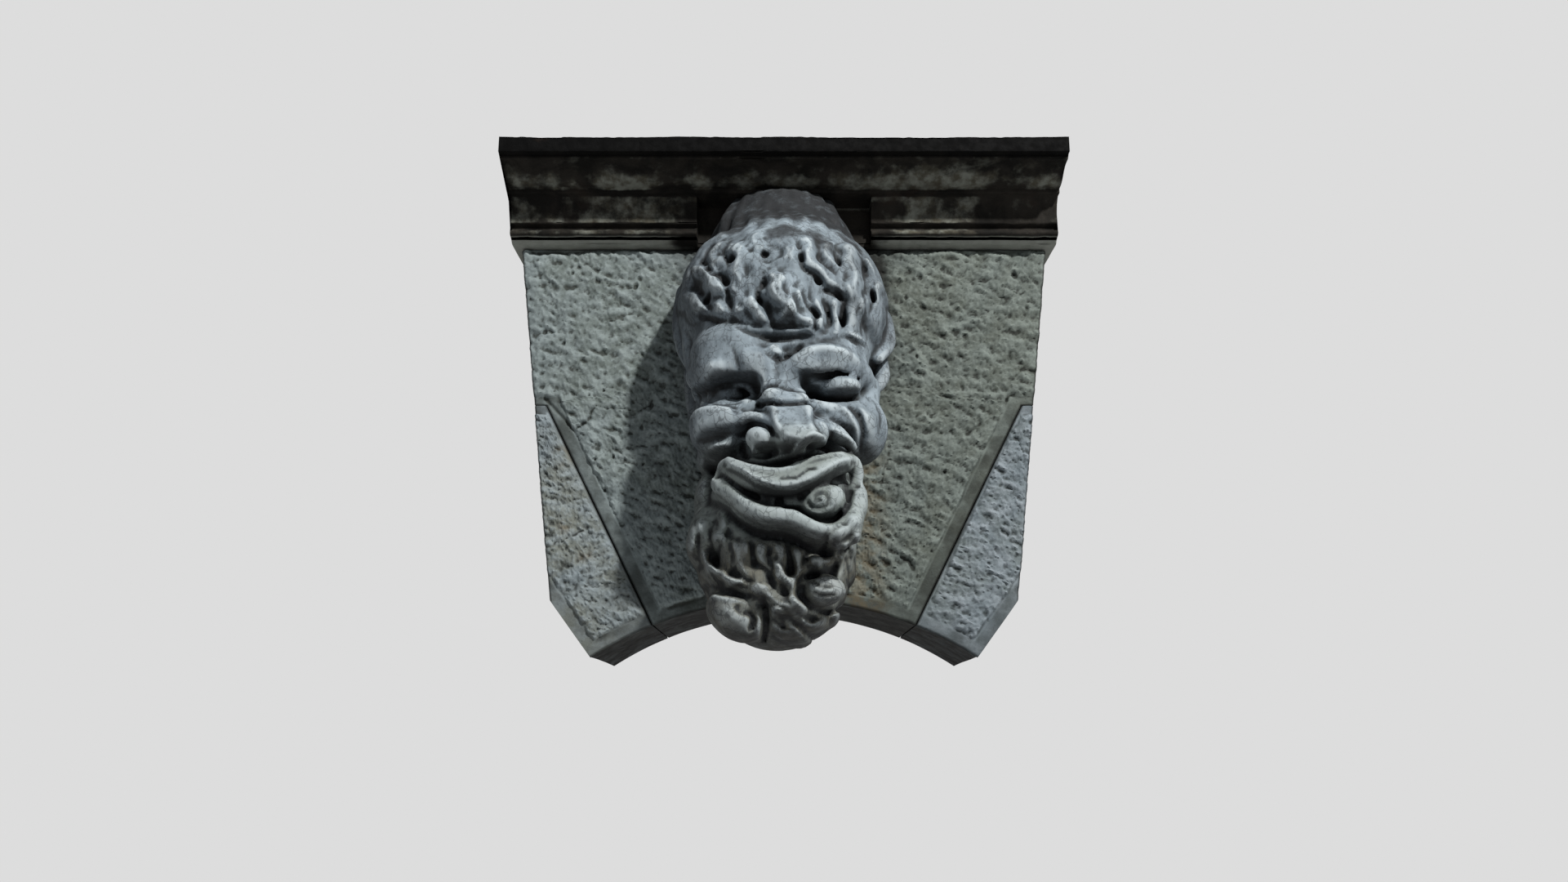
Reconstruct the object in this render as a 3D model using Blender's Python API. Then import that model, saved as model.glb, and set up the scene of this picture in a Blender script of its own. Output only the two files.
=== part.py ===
# A marble mask on the keystone of a small arch, with the stones beside it and the cornice over it.
# Metres, +Z up, front towards -Y, back face on y = 0, arch centred on x = 0.
# The head is modelled as clay in its own units: a across, b up, c out from the wall.

import math

import bmesh
import bpy
import numpy as np

# Sizes of the arch and of the wall
ARCH_RADIUS = 0.450
ARCH_CENTRE_Z = -0.658
WALL_DEPTH = 0.200
BOSS_HEIGHT = 0.010
WALL_FACE = WALL_DEPTH + BOSS_HEIGHT
WALL_TOP_Z = 0.279
WALL_HALF_TOP = 0.366
SIDE_TAPER = 0.134
GAP = 0.0006
ARCH_STEPS = 10
CORNER_ROUNDS = 12

# Joints between the stones
KEY_HALF_BOTTOM = 0.060
KEY_HALF_TOP = 0.090
JOINT_HALF_BOTTOM = 0.168
BED_JOINT_LENGTH = 0.016
BED_JOINT_Z = 0.052
FOOT_HALF = 0.245
BED_OUTER_Z = -0.208

# Raised panels
ARCH_MARGIN = 0.017
JOINT_MARGIN = 0.021
VOUSSOIR_MARGIN = 0.004
BED_MARGIN = 0.012
TOP_MARGIN = 0.003

# Cornice
CORNICE_HEIGHT = 0.111
CORNICE_HALF = 0.377
CROWN_OUT = 0.104
FILLET_OUT = 0.094
CYMA_OUT = 0.088
EDGE_OUT = 0.042
COVE_TOP_OUT = 0.035
COVE_FOOT_OUT = 0.020
BEAD_OUT = 0.022
GROOVE_OUT = 0.012
FOOT_OUT = 0.006
CROWN_DROP = 0.024
FILLET_DROP = 0.029
EDGE_DROP = 0.045
SOFFIT_DROP = 0.051
COVE_DROP = 0.085
GROOVE_DROP = 0.092
BEAD_DROP = 0.105
CYMA_SWING = 0.8
CYMA_STEP = 0.002
CURVE_STEPS = 6
NOTCH_HALF = 0.120

# The head
MASK_HEIGHT = 0.610
UNIT = MASK_HEIGHT / 100
MASK_FOOT_Z = -0.276
CLAY_STEP = 0.8
CLAY_LOW = (-27, -4, -2)
CLAY_HIGH = (26, 106, 46)
FAR = 30.0
KEEP_SHARE = 0.105
TAIL_REACH = 0.030
MERGE = 0.00001


# Clay tools
def smooth_path(points, radii, per_span=4):
    """A smooth curve through the points, with the radii carried along it."""
    rows = np.column_stack([np.array(points, float), np.array(radii, float)])
    ends = np.vstack([2 * rows[0] - rows[1], rows, 2 * rows[-1] - rows[-2]])
    made = []
    for i in range(len(rows) - 1):
        p0, p1, p2, p3 = ends[i:i + 4]
        for t in np.arange(per_span) / per_span:
            slope = (p2 - p0) * t
            bend = (2 * p0 - 5 * p1 + 4 * p2 - p3) * t ** 2
            turn = (3 * p1 - 3 * p2 + p3 - p0) * t ** 3
            made.append(p1 + 0.5 * (slope + bend + turn))
    made.append(rows[-1])
    made = np.array(made)
    return made[:, :3], np.maximum(made[:, 3], 0.05)


def ball(centre, radii, turn=0.0):
    """An ellipsoid, turned by so many degrees in the plane of the wall."""
    centre = np.array(centre, float)
    radii = np.broadcast_to(np.array(radii, float), 3)
    cos = math.cos(math.radians(turn))
    sin = math.sin(math.radians(turn))
    reach_a = math.hypot(radii[0] * cos, radii[1] * sin)
    reach_b = math.hypot(radii[0] * sin, radii[1] * cos)
    reach = np.array([reach_a, reach_b, radii[2]])

    def distance(a, b, c):
        a, b, c = a - centre[0], b - centre[1], c - centre[2]
        u = (a * cos + b * sin) / radii[0]
        v = (b * cos - a * sin) / radii[1]
        w = c / radii[2]
        size = np.sqrt(u ** 2 + v ** 2 + w ** 2)
        steep = np.sqrt((u / radii[0]) ** 2 + (v / radii[1]) ** 2 + (w / radii[2]) ** 2)
        return size * (size - 1) / np.maximum(steep, 1e-6)

    return centre - reach, centre + reach, distance


def roll(points, radii, flat=1.0):
    """A round roll along a smooth curve, flat times as thick out of the wall as across."""
    radii = np.broadcast_to(np.array(radii, float), len(points))
    path, thick = smooth_path(points, radii)

    def distance(a, b, c):
        best = FAR
        for p, q, r, s in zip(path[:-1], path[1:], thick[:-1], thick[1:]):
            d = (q - p) / (1, 1, flat)
            u, v, w = a - p[0], b - p[1], (c - p[2]) / flat
            t = np.clip((u * d[0] + v * d[1] + w * d[2]) / max(d @ d, 1e-9), 0, 1)
            gap = np.sqrt((u - t * d[0]) ** 2 + (v - t * d[1]) ** 2 + (w - t * d[2]) ** 2)
            best = np.minimum(best, gap - r - (s - r) * t)
        return best

    reach = thick.max() * np.array([1, 1, max(flat, 1)])
    return path.min(0) - reach, path.max(0) + reach, distance


def wavy(points, swing=0.45, length=6.0):
    """A curve through the points that also swings from side to side."""
    path = smooth_path([(a, b, 0) for a, b in points], np.zeros(len(points)))[0][::2, :2]
    way = np.gradient(path, axis=0)
    way /= np.maximum(np.linalg.norm(way, axis=1), 1e-6)[:, None]
    run = np.append(0, np.cumsum(np.linalg.norm(np.diff(path, axis=0), axis=1)))
    phase = points[0][0] + points[0][1]
    swings = swing * np.sin(2 * math.pi * run / length + phase)
    return path + swings[:, None] * np.column_stack([-way[:, 1], way[:, 0]])


def block(centre, half, turn=0.0, lean=0.0, soft=0.6):
    """A block with rounded edges, turned in the plane of the wall, then leant back by degrees."""
    centre = np.array(centre, float)
    half = np.array(half, float)
    cos = math.cos(math.radians(turn))
    sin = math.sin(math.radians(turn))
    rise = math.sin(math.radians(lean))
    level = math.cos(math.radians(lean))
    reach = np.full(3, np.linalg.norm(half))

    def distance(a, b, c):
        a, b, c = a - centre[0], b - centre[1], c - centre[2]
        b, c = b * level - c * rise, c * level + b * rise
        out = [np.abs(a * cos + b * sin), np.abs(b * cos - a * sin), np.abs(c)]
        out = [o - h + soft for o, h in zip(out, half)]
        far = np.sqrt(sum(np.maximum(o, 0) ** 2 for o in out))
        return far + np.minimum(np.maximum(np.maximum(out[0], out[1]), out[2]), 0) - soft

    return centre - reach, centre + reach, distance


class Clay:
    """A block kept as a grid of values: stone where the value is below zero."""

    def __init__(self, low, high, step):
        self.step = step
        self.low = np.array(low, float)
        self.count = np.ceil((np.array(high) - self.low) / step).astype(int) + 1
        self.value = np.full(self.count, FAR, np.float32)

    def near(self, shape, margin):
        """The part of the grid round a shape, and the shape's distance at its points."""
        low, high, distance = shape
        first = np.floor((low - margin - self.low) / self.step).astype(int)
        last = np.ceil((high + margin - self.low) / self.step).astype(int) + 1
        first = np.clip(first, 0, self.count - 1)
        last = np.clip(last, 1, self.count)
        where = tuple(slice(f, e) for f, e in zip(first, last))
        lines = [self.low[i] + self.step * np.arange(first[i], last[i]) for i in range(3)]
        a, b, c = np.ix_(*[line.astype(np.float32) for line in lines])
        return where, distance(a, b, c).astype(np.float32)

    def add(self, shape, blend=1.0):
        where, new = self.near(shape, blend + 4)
        old = self.value[where]
        share = np.clip(0.5 + 0.5 * (new - old) / blend, 0, 1)
        self.value[where] = new * (1 - share) + old * share - blend * share * (1 - share)

    def cut(self, shape, blend=1.0):
        where, new = self.near(shape, blend + 1)
        old = self.value[where]
        share = np.clip(0.5 - 0.5 * (old + new) / blend, 0, 1)
        self.value[where] = old * (1 - share) - new * share + blend * share * (1 - share)

    def stroke(self, points, height, width, other=None, shape="round", fade=0.0):
        """Raises the front along a smooth curve, or sinks it where the height is below zero.

        The width is to each side, or to the left of the way the curve runs, and other to the
        right. The section is round, plump, sharp or flat, and fades over a length at its ends."""
        other = other or width
        reach = max(width, other)
        path = smooth_path([(a, b, 0) for a, b in points], np.zeros(len(points)))[0][:, :2]
        first = np.floor((path.min(0) - reach - self.low[:2]) / self.step).astype(int)
        last = np.ceil((path.max(0) + reach - self.low[:2]) / self.step).astype(int) + 1
        first, last = np.clip(first, 0, self.count[:2]), np.clip(last, 0, self.count[:2])
        a, b = np.ix_(*[self.low[i] + self.step * np.arange(first[i], last[i]) for i in (0, 1)])
        best = np.full((a.size, b.size), FAR)
        share = np.full(best.shape, FAR)
        place = np.zeros(best.shape)
        start = 0.0
        for p, q in zip(path[:-1], path[1:]):
            d = q - p
            t = np.clip(((a - p[0]) * d[0] + (b - p[1]) * d[1]) / max(d @ d, 1e-9), 0, 1)
            gap = np.hypot(a - p[0] - t * d[0], b - p[1] - t * d[1])
            is_left = d[0] * (b - p[1]) - d[1] * (a - p[0]) > 0
            nearer = gap < best
            best = np.where(nearer, gap, best)
            share = np.where(nearer, gap / np.where(is_left, width, other), share)
            place = np.where(nearer, start + t * math.hypot(*d), place)
            start += math.hypot(*d)
        inside = np.clip(1 - share, 0, 1)
        if shape == "flat":
            inside = 1 - (1 - inside) ** 4
        elif shape == "sharp":
            inside = inside ** 1.6
        elif shape == "plump":
            inside = inside * (2 - inside)
        else:
            inside = inside ** 2 * (3 - 2 * inside)
        if fade:
            to_end = np.clip(np.minimum(place, start - place) / fade, 0, 1)
            inside = inside * (0.15 + 0.85 * to_end ** 0.8)
        rise = (height * inside).astype(np.float32)
        self.value[first[0]:last[0], first[1]:last[1]] -= rise[:, :, None]

    def ridge(self, points, height, width, other=None, shape="round", fade=0.0):
        self.stroke(points, height, width, other, shape, fade)

    def groove(self, points, depth, width, fade=0.0):
        """A sharp line cut in, unless it is finer than the grid can show."""
        if width > 0.9 * self.step:
            self.stroke(points, -depth, width, shape="sharp", fade=fade)

    def lock(self, points, height, width, strands=(-0.7, 0.6)):
        """A wavy lock of hair, with fine strands cut along it."""
        path = wavy(points)
        self.ridge(path, height, width, 0.8 * width, "plump", fade=2.0)
        way = np.gradient(path, axis=0)
        way /= np.maximum(np.linalg.norm(way, axis=1), 1e-6)[:, None]
        across = np.column_stack([-way[:, 1], way[:, 0]])
        for offset in strands:
            self.groove(path + offset * across, 0.28, 0.6, fade=2.0)

    def trim(self, axis, at, side):
        """A flat face at that place on the axis; side is 1 to lose what is beyond it, -1 before it."""
        line = self.low[axis] + self.step * np.arange(self.count[axis])
        shape = [1, 1, 1]
        shape[axis] = -1
        plane = (side * (line - at)).reshape(shape).astype(np.float32)
        self.value = np.maximum(self.value, plane)

    def settle(self):
        """Fills the spots where two skins would touch in one cell, so the surface is a clean one."""
        fill = np.float32(-0.1 * self.step)
        while True:
            inside = self.value < 0
            touching = np.zeros(inside.shape, bool)
            for axis in range(3):
                second, third = (axis + 1) % 3, (axis + 2) % 3
                square = []
                for along_second, along_third in ((0, 0), (1, 0), (1, 1), (0, 1)):
                    part = [slice(None)] * 3
                    part[second] = slice(along_second, inside.shape[second] - 1 + along_second)
                    part[third] = slice(along_third, inside.shape[third] - 1 + along_third)
                    square.append(tuple(part))
                w, x, y, z = [inside[part] for part in square]
                crossed = (w == y) & (x == z) & (w != x)
                for part in square:
                    touching[part] |= crossed
            room = np.array(inside.shape) - 1
            corners = [(i, j, k) for i in (0, 1) for j in (0, 1) for k in (0, 1)]
            views = [tuple(slice(n, r + n) for n, r in zip(corner, room)) for corner in corners]
            count = sum(inside[view].astype(np.int8) for view in views)
            for near, far in zip(views[:4], views[:3:-1]):
                across = inside[near] == inside[far]
                pair = across & (((count == 2) & inside[near]) | ((count == 6) & ~inside[near]))
                for view in views:
                    touching[view] |= pair
            touching &= ~inside
            if not touching.any():
                return
            self.value[touching] = fill

    def skin(self):
        """The surface as points and quads: one point in each cell that the surface crosses."""
        self.settle()
        value, inside = self.value, self.value < 0
        room = np.array(value.shape) - 1
        corners = [(i, j, k) for i in (0, 1) for j in (0, 1) for k in (0, 1)]
        some = np.zeros(room, bool)
        every = np.ones(room, bool)
        for i, j, k in corners:
            part = inside[i:room[0] + i, j:room[1] + j, k:room[2] + k]
            some |= part
            every &= part
        cells = np.argwhere(some & ~every)
        index = np.full(room, -1)
        index[tuple(cells.T)] = np.arange(len(cells))
        at = {corner: value[tuple((cells + corner).T)].astype(float) for corner in corners}
        total = np.zeros((len(cells), 3))
        hits = np.zeros(len(cells))
        for start in corners:
            for axis in range(3):
                if start[axis]:
                    continue
                end = tuple(x + (n == axis) for n, x in enumerate(start))
                crosses = (at[start] < 0) != (at[end] < 0)
                fall = np.where(crosses, at[start] - at[end], 1)
                spot = np.repeat(np.array([start], float), len(cells), 0)
                spot[:, axis] = np.where(crosses, at[start] / fall, 0)
                total[crosses] += spot[crosses]
                hits += crosses
        points = self.low + self.step * (cells + total / hits[:, None])
        return points, np.vstack([self.quads_across(inside, index, axis) for axis in range(3)])

    def quads_across(self, inside, index, axis):
        """One quad round each grid edge along the axis that goes in or out of the stone."""
        second, third = (axis + 1) % 3, (axis + 2) % 3
        here = [slice(1, -1)] * 3
        here[axis] = slice(0, -1)
        there = list(here)
        there[axis] = slice(1, None)
        leaves = inside[tuple(there)]
        edges = np.argwhere(inside[tuple(here)] != leaves)
        flips = leaves[tuple(edges.T)]
        edges[:, second] += 1
        edges[:, third] += 1
        ring = []
        for back_second, back_third in ((0, 0), (1, 0), (1, 1), (0, 1)):
            cell = edges.copy()
            cell[:, second] -= back_second
            cell[:, third] -= back_third
            ring.append(index[tuple(cell.T)])
        ring = np.array(ring).T
        ring[flips] = ring[flips][:, ::-1]
        return ring


# The carving of the head
def hair_depth(a, b):
    """How far out the smooth cap of the hair stands at (a, b)."""
    inside = 1 - ((a + 0.3) / 22.5) ** 2 - ((b - 69) / 21.5) ** 2
    return 6 + 26.5 * math.sqrt(max(inside, 0.02))


def carve_masses(clay):
    clay.add(ball((-0.3, 69, 6), (22.5, 21.5, 26.5)), 1)
    clay.add(ball((-10.0, 76, 4), (11.5, 13, 18)), 5)
    clay.add(ball((9.5, 76, 4), (11.5, 13, 18)), 5)
    clay.add(ball((-0.5, 84, 0), (18, 20, 15)), 3)
    clay.add(ball((-0.8, 47, 4), (18.4, 19, 27.5)), 5)
    clay.add(ball((0.3, 29, 6), (14.4, 12, 27)), 5)
    clay.add(ball((-2.0, 19, 4), (16.0, 16, 25)), 5)
    clay.add(ball((-1.2, 10, 8), (12.2, 10, 19)), 4)
    clay.add(ball((-14.6, 21, 13), (4.2, 7.0, 10), 6), 2)
    clay.add(ball((-15.4, 30.0, 11), (2.9, 5.2, 7), -4), 1.5)
    clay.add(ball((-14.8, 37.6, 13), (3.0, 3.0, 7)), 1.5)


def carve_brows(clay):
    clay.add(ball((-8.5, 57.3, 20), (10.5, 6.5, 11.5)), 3)
    clay.add(ball((6.5, 57.3, 20), (10.5, 6.0, 11.5)), 3)
    clay.add(roll([(-16.4, 53.2, 20.0), (-12.6, 53.0, 26.2), (-8.6, 53.2, 29.0), (-4.6, 52.4, 31.0)],
                  [3.4, 4.2, 3.6, 2.4]), 1.6)
    clay.add(roll([(-6.8, 53.6, 29.6), (-4.8, 51.8, 31.0), (-3.9, 49.2, 31.2), (-3.2, 46.6, 31.0)],
                  [2.6, 2.5, 2.1, 1.6]), 1.2)
    clay.add(roll([(0.9, 50.8, 30.5), (4.4, 52.2, 31.0), (9.2, 53.2, 29.2), (14.0, 52.7, 23.6),
                   (16.6, 51.2, 18)],
                  [2.3, 3.2, 3.5, 3.2, 2.4]), 1.6)
    clay.add(roll([(-1.8, 53.6, 31.0), (-1.6, 50.5, 31.0), (-1.4, 47.6, 31.2)], [2.0, 1.8, 1.5]), 1.4)
    clay.ridge([(-15.6, 51.6), (-13.0, 51.2), (-10.8, 51.4)], 0.9, 2.4, fade=1.5)
    clay.groove([(-9.9, 56.0), (-9.2, 53.6), (-8.6, 51.4), (-8.2, 49.8)], 0.9, 1.7, 2.5)
    clay.ridge([(3.2, 53.4), (7.2, 54.6), (11.7, 54.4), (14.8, 53.2)], 0.7, 1.8, fade=2.0)
    clay.groove([(3.6, 57.0), (2.8, 55.2), (2.0, 53.4)], 0.7, 1.5, 1.5)
    clay.ridge([(-3.4, 55.6), (-0.2, 56.4), (2.6, 56.4)], 0.5, 1.6, fade=1.5)
    clay.groove([(-3.8, 54.6), (-2.0, 53.0), (-0.2, 52.9), (1.8, 54.2)], 0.9, 1.1, 1.5)
    clay.groove([(-1.3, 53.6), (-1.2, 50.6), (-1.2, 47.8)], 1.3, 1.6, 1.5)
    clay.ridge([(-9.4, 61.4), (-6.4, 59.8), (-3.0, 58.9), (1.0, 58.7), (5.4, 58.7)], 0.6, 1.2, fade=2.0)
    clay.groove([(-9.8, 60.2), (-6.6, 58.4), (-3.0, 57.5), (0.8, 57.4), (4.6, 57.6)], 0.8, 0.9, 3.0)
    clay.groove([(-11.2, 62.4), (-8.4, 60.8), (-5.2, 59.8), (-1.4, 59.6), (3.4, 59.2),
                 (7.6, 58.2)], 0.7, 0.8, 3.0)


def carve_eyes(clay):
    clay.cut(ball((-10.4, 47.7, 30.4), (6.0, 2.2, 8.0), 3), 0.9)
    clay.cut(ball((-5.8, 47.4, 31.5), (1.9, 2.4, 4.2), 20), 1.0)
    clay.cut(ball((6.6, 46.5, 31.0), (4.6, 2.1, 7.0), 4), 0.9)
    clay.cut(ball((4.0, 47.8, 31.4), (1.9, 2.2, 4.4), -30), 1.0)
    clay.add(ball((-10.8, 47.8, 23.0), (3.1, 2.1, 3.6)), 0.4)
    clay.add(roll([(-14.8, 48.2, 22.0), (-11.5, 49.8, 25.0), (-7.6, 49.3, 26.2), (-5.8, 47.4, 26.4)],
                  [0.6, 0.8, 0.8, 0.5]), 0.5)
    clay.add(roll([(-14.6, 47.9, 22.2), (-12, 46.2, 25.4), (-8.6, 45.7, 26.6), (-6.0, 46.9, 26.6)],
                  [0.5, 0.8, 0.8, 0.5]), 0.5)
    clay.add(roll([(-15.6, 46.4, 23.4), (-11.4, 44.2, 27.2), (-7.0, 44.0, 29.2)], [1.0, 1.3, 1.1]), 1.2)
    clay.groove([(-16.4, 48.0), (-13.6, 45.7), (-11.0, 44.9), (-7.8, 45.0)], 0.7, 0.7, 1.5)
    clay.add(ball((10.8, 48.8, 25.2), (4.3, 2.3, 5.0), 10), 1.4)
    clay.cut(roll([(4.0, 48.9, 30.6), (7.0, 50.2, 30.0), (10.8, 50.9, 29.0), (14.2, 50.4, 26.2)],
                  [0.6, 0.8, 0.7, 0.4], 2.0), 0.6)
    clay.groove([(4.6, 47.8), (7.6, 46.4), (11.4, 46.3), (14.8, 47.8)], 1.8, 1.0, 1.5)
    clay.add(roll([(4.4, 45.6, 28.2), (8.4, 44.2, 28.2), (13.0, 45.6, 24.8)], [0.9, 1.2, 1.0]), 0.9)
    clay.groove([(4.9, 43.2), (8.5, 42.6), (11.8, 44.0), (14.0, 46.4)], 0.5, 0.8, 1.5)


def carve_nose(clay):
    clay.add(roll([(-0.6, 49, 29.8), (-0.2, 46, 30), (0.6, 41, 31.5)], [2.8, 3.6, 4.4]), 2.5)
    clay.add(block((0.2, 44.7, 32.0), (4.4, 2.0, 2.6), -5, -8, 1.3), 1.6)
    clay.add(block((1.4, 38.2, 33.6), (3.5, 4.8, 4.4), -4, 31, 1.9), 1.8)
    clay.add(ball((2.6, 36.2, 36.2), (4.4, 2.5, 4.8), -6), 1.2)
    clay.add(ball((-4.1, 36.4, 33.8), (3.3, 2.5, 4.0), -8), 0.5)
    clay.add(ball((6.2, 38.0, 33.2), (2.2, 2.4, 3.2), 20), 0.7)
    clay.groove([(-4.9, 44.2), (-2.4, 43.3), (-0.8, 42.8), (2.0, 42.8), (4.9, 43.3)], 1.3, 0.9)
    clay.groove([(-4.6, 45.8), (-3.4, 46.6), (-1.7, 47.0), (0.2, 46.2), (2.2, 45.8),
                 (5.0, 45.6)], 0.9, 0.8)
    clay.ridge([(-1.9, 42.2), (-1.6, 39.8), (-1.0, 37.4)], 0.5, 0.6, 1.6)
    clay.ridge([(4.5, 42.4), (4.7, 39.6), (4.9, 37.4)], 0.5, 1.6, 0.6)
    clay.add(roll([(-9.6, 40.9, 28.0), (-7.2, 41.4, 30.6), (-4.6, 40.6, 33.0), (-2.2, 39.0, 35.0)],
                  [1.3, 1.4, 1.3, 0.9]), 0.9)
    clay.groove([(-9.2, 38.6), (-7.4, 39.2), (-6.0, 40.2), (-4.0, 39.1), (-2.5, 37.7),
                 (-0.9, 35.4)], 1.2, 0.9, 2.0)
    clay.groove([(-7.8, 38.0), (-7.8, 36.0), (-6.2, 34.0)], 0.9, 1.0, 1.5)
    clay.ridge([(0.4, 35.4), (2.6, 34.9), (5.2, 36.0)], 0.7, 1.4)
    clay.cut(ball((-3.0, 33.7, 35.5), (2.2, 1.1, 3.0)), 0.5)
    clay.cut(ball((4.6, 34.7, 35.6), (1.7, 1.0, 3.0)), 0.5)


def carve_cheeks(clay):
    clay.add(ball((-11.8, 41.0, 21.5), (6.8, 5.0, 9.4)), 1.6)
    clay.ridge([(-17.0, 44.2), (-15.0, 44.4), (-11.9, 43.8), (-8.6, 43.0)], 1.2, 0.8, 3.6)
    clay.ridge([(-16.0, 40.6), (-13.1, 41.0), (-9.8, 40.8)], 0.6, 2.4)
    clay.groove([(-17.2, 38.6), (-15.2, 38.0), (-13.0, 38.0), (-10.6, 38.7),
                 (-8.8, 39.4)], 0.7, 1.6, 3.0)
    clay.ridge([(-15.2, 36.8), (-12.0, 36.4), (-9.2, 37.0)], 0.9, 1.9, fade=2.0)
    clay.groove([(-15.8, 35.4), (-12.3, 34.6), (-9.4, 35.0)], 0.8, 1.0, 2.0)
    clay.groove([(-9.6, 43.8), (-9.0, 42.6), (-7.2, 42.4)], 0.8, 0.7)
    clay.add(ball((8.5, 42.0, 20.2), (7.0, 4.2, 8.6)), 2)
    clay.add(ball((15.6, 42.4, 17), (5.2, 6.8, 8.0), -10), 2)
    clay.add(roll([(17.0, 52.5, 16), (16.6, 48.8, 19.5), (14.6, 45.6, 23.0)], [2.4, 2.2, 1.6]), 1.6)
    clay.ridge([(13.6, 45.4), (15.6, 43.0), (16.2, 39.6)], 1.2, 2.4, 2.2, fade=3.0)
    clay.ridge([(11.9, 44.0), (13.4, 42.0), (14.2, 39.6), (13.6, 37.2)], 0.9, 1.3)
    clay.groove([(12.0, 45.0), (14.3, 43.6), (15.2, 41.0), (14.9, 38.2), (15.6, 36.0)], 0.8, 1.3, 3.0)
    clay.groove([(18.0, 47.6), (18.9, 44.0), (18.4, 39.8)], 0.6, 1.3, 2.5)
    clay.add(roll([(6.4, 40.6, 30.6), (8.4, 39.0, 31.2), (10.6, 37.8, 30.4), (12.8, 36.6, 27.8)],
                  [1.0, 1.7, 1.9, 1.2]), 1.0)
    clay.ridge([(6.6, 40.4), (8.4, 39.0), (10.4, 37.8), (12.6, 36.8)], 0.8, 1.3, 1.0)
    clay.groove([(6.4, 39.0), (7.0, 37.4), (8.7, 36.6), (10.8, 35.3), (12.9, 35.0)], 1.4, 1.1, 2.0)
    clay.groove([(8.2, 42.2), (10.4, 41.4), (12.2, 39.6), (13.8, 37.6)], 1.1, 1.2, 1.5)
    clay.groove([(18.4, 35.2), (15.6, 34.4), (13.6, 34.6)], 2.4, 1.5)
    clay.groove([(14.4, 35.4), (15.0, 32.0), (15.6, 28.0), (15.0, 23.8)], 0.7, 1.3, 3.0)


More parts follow.
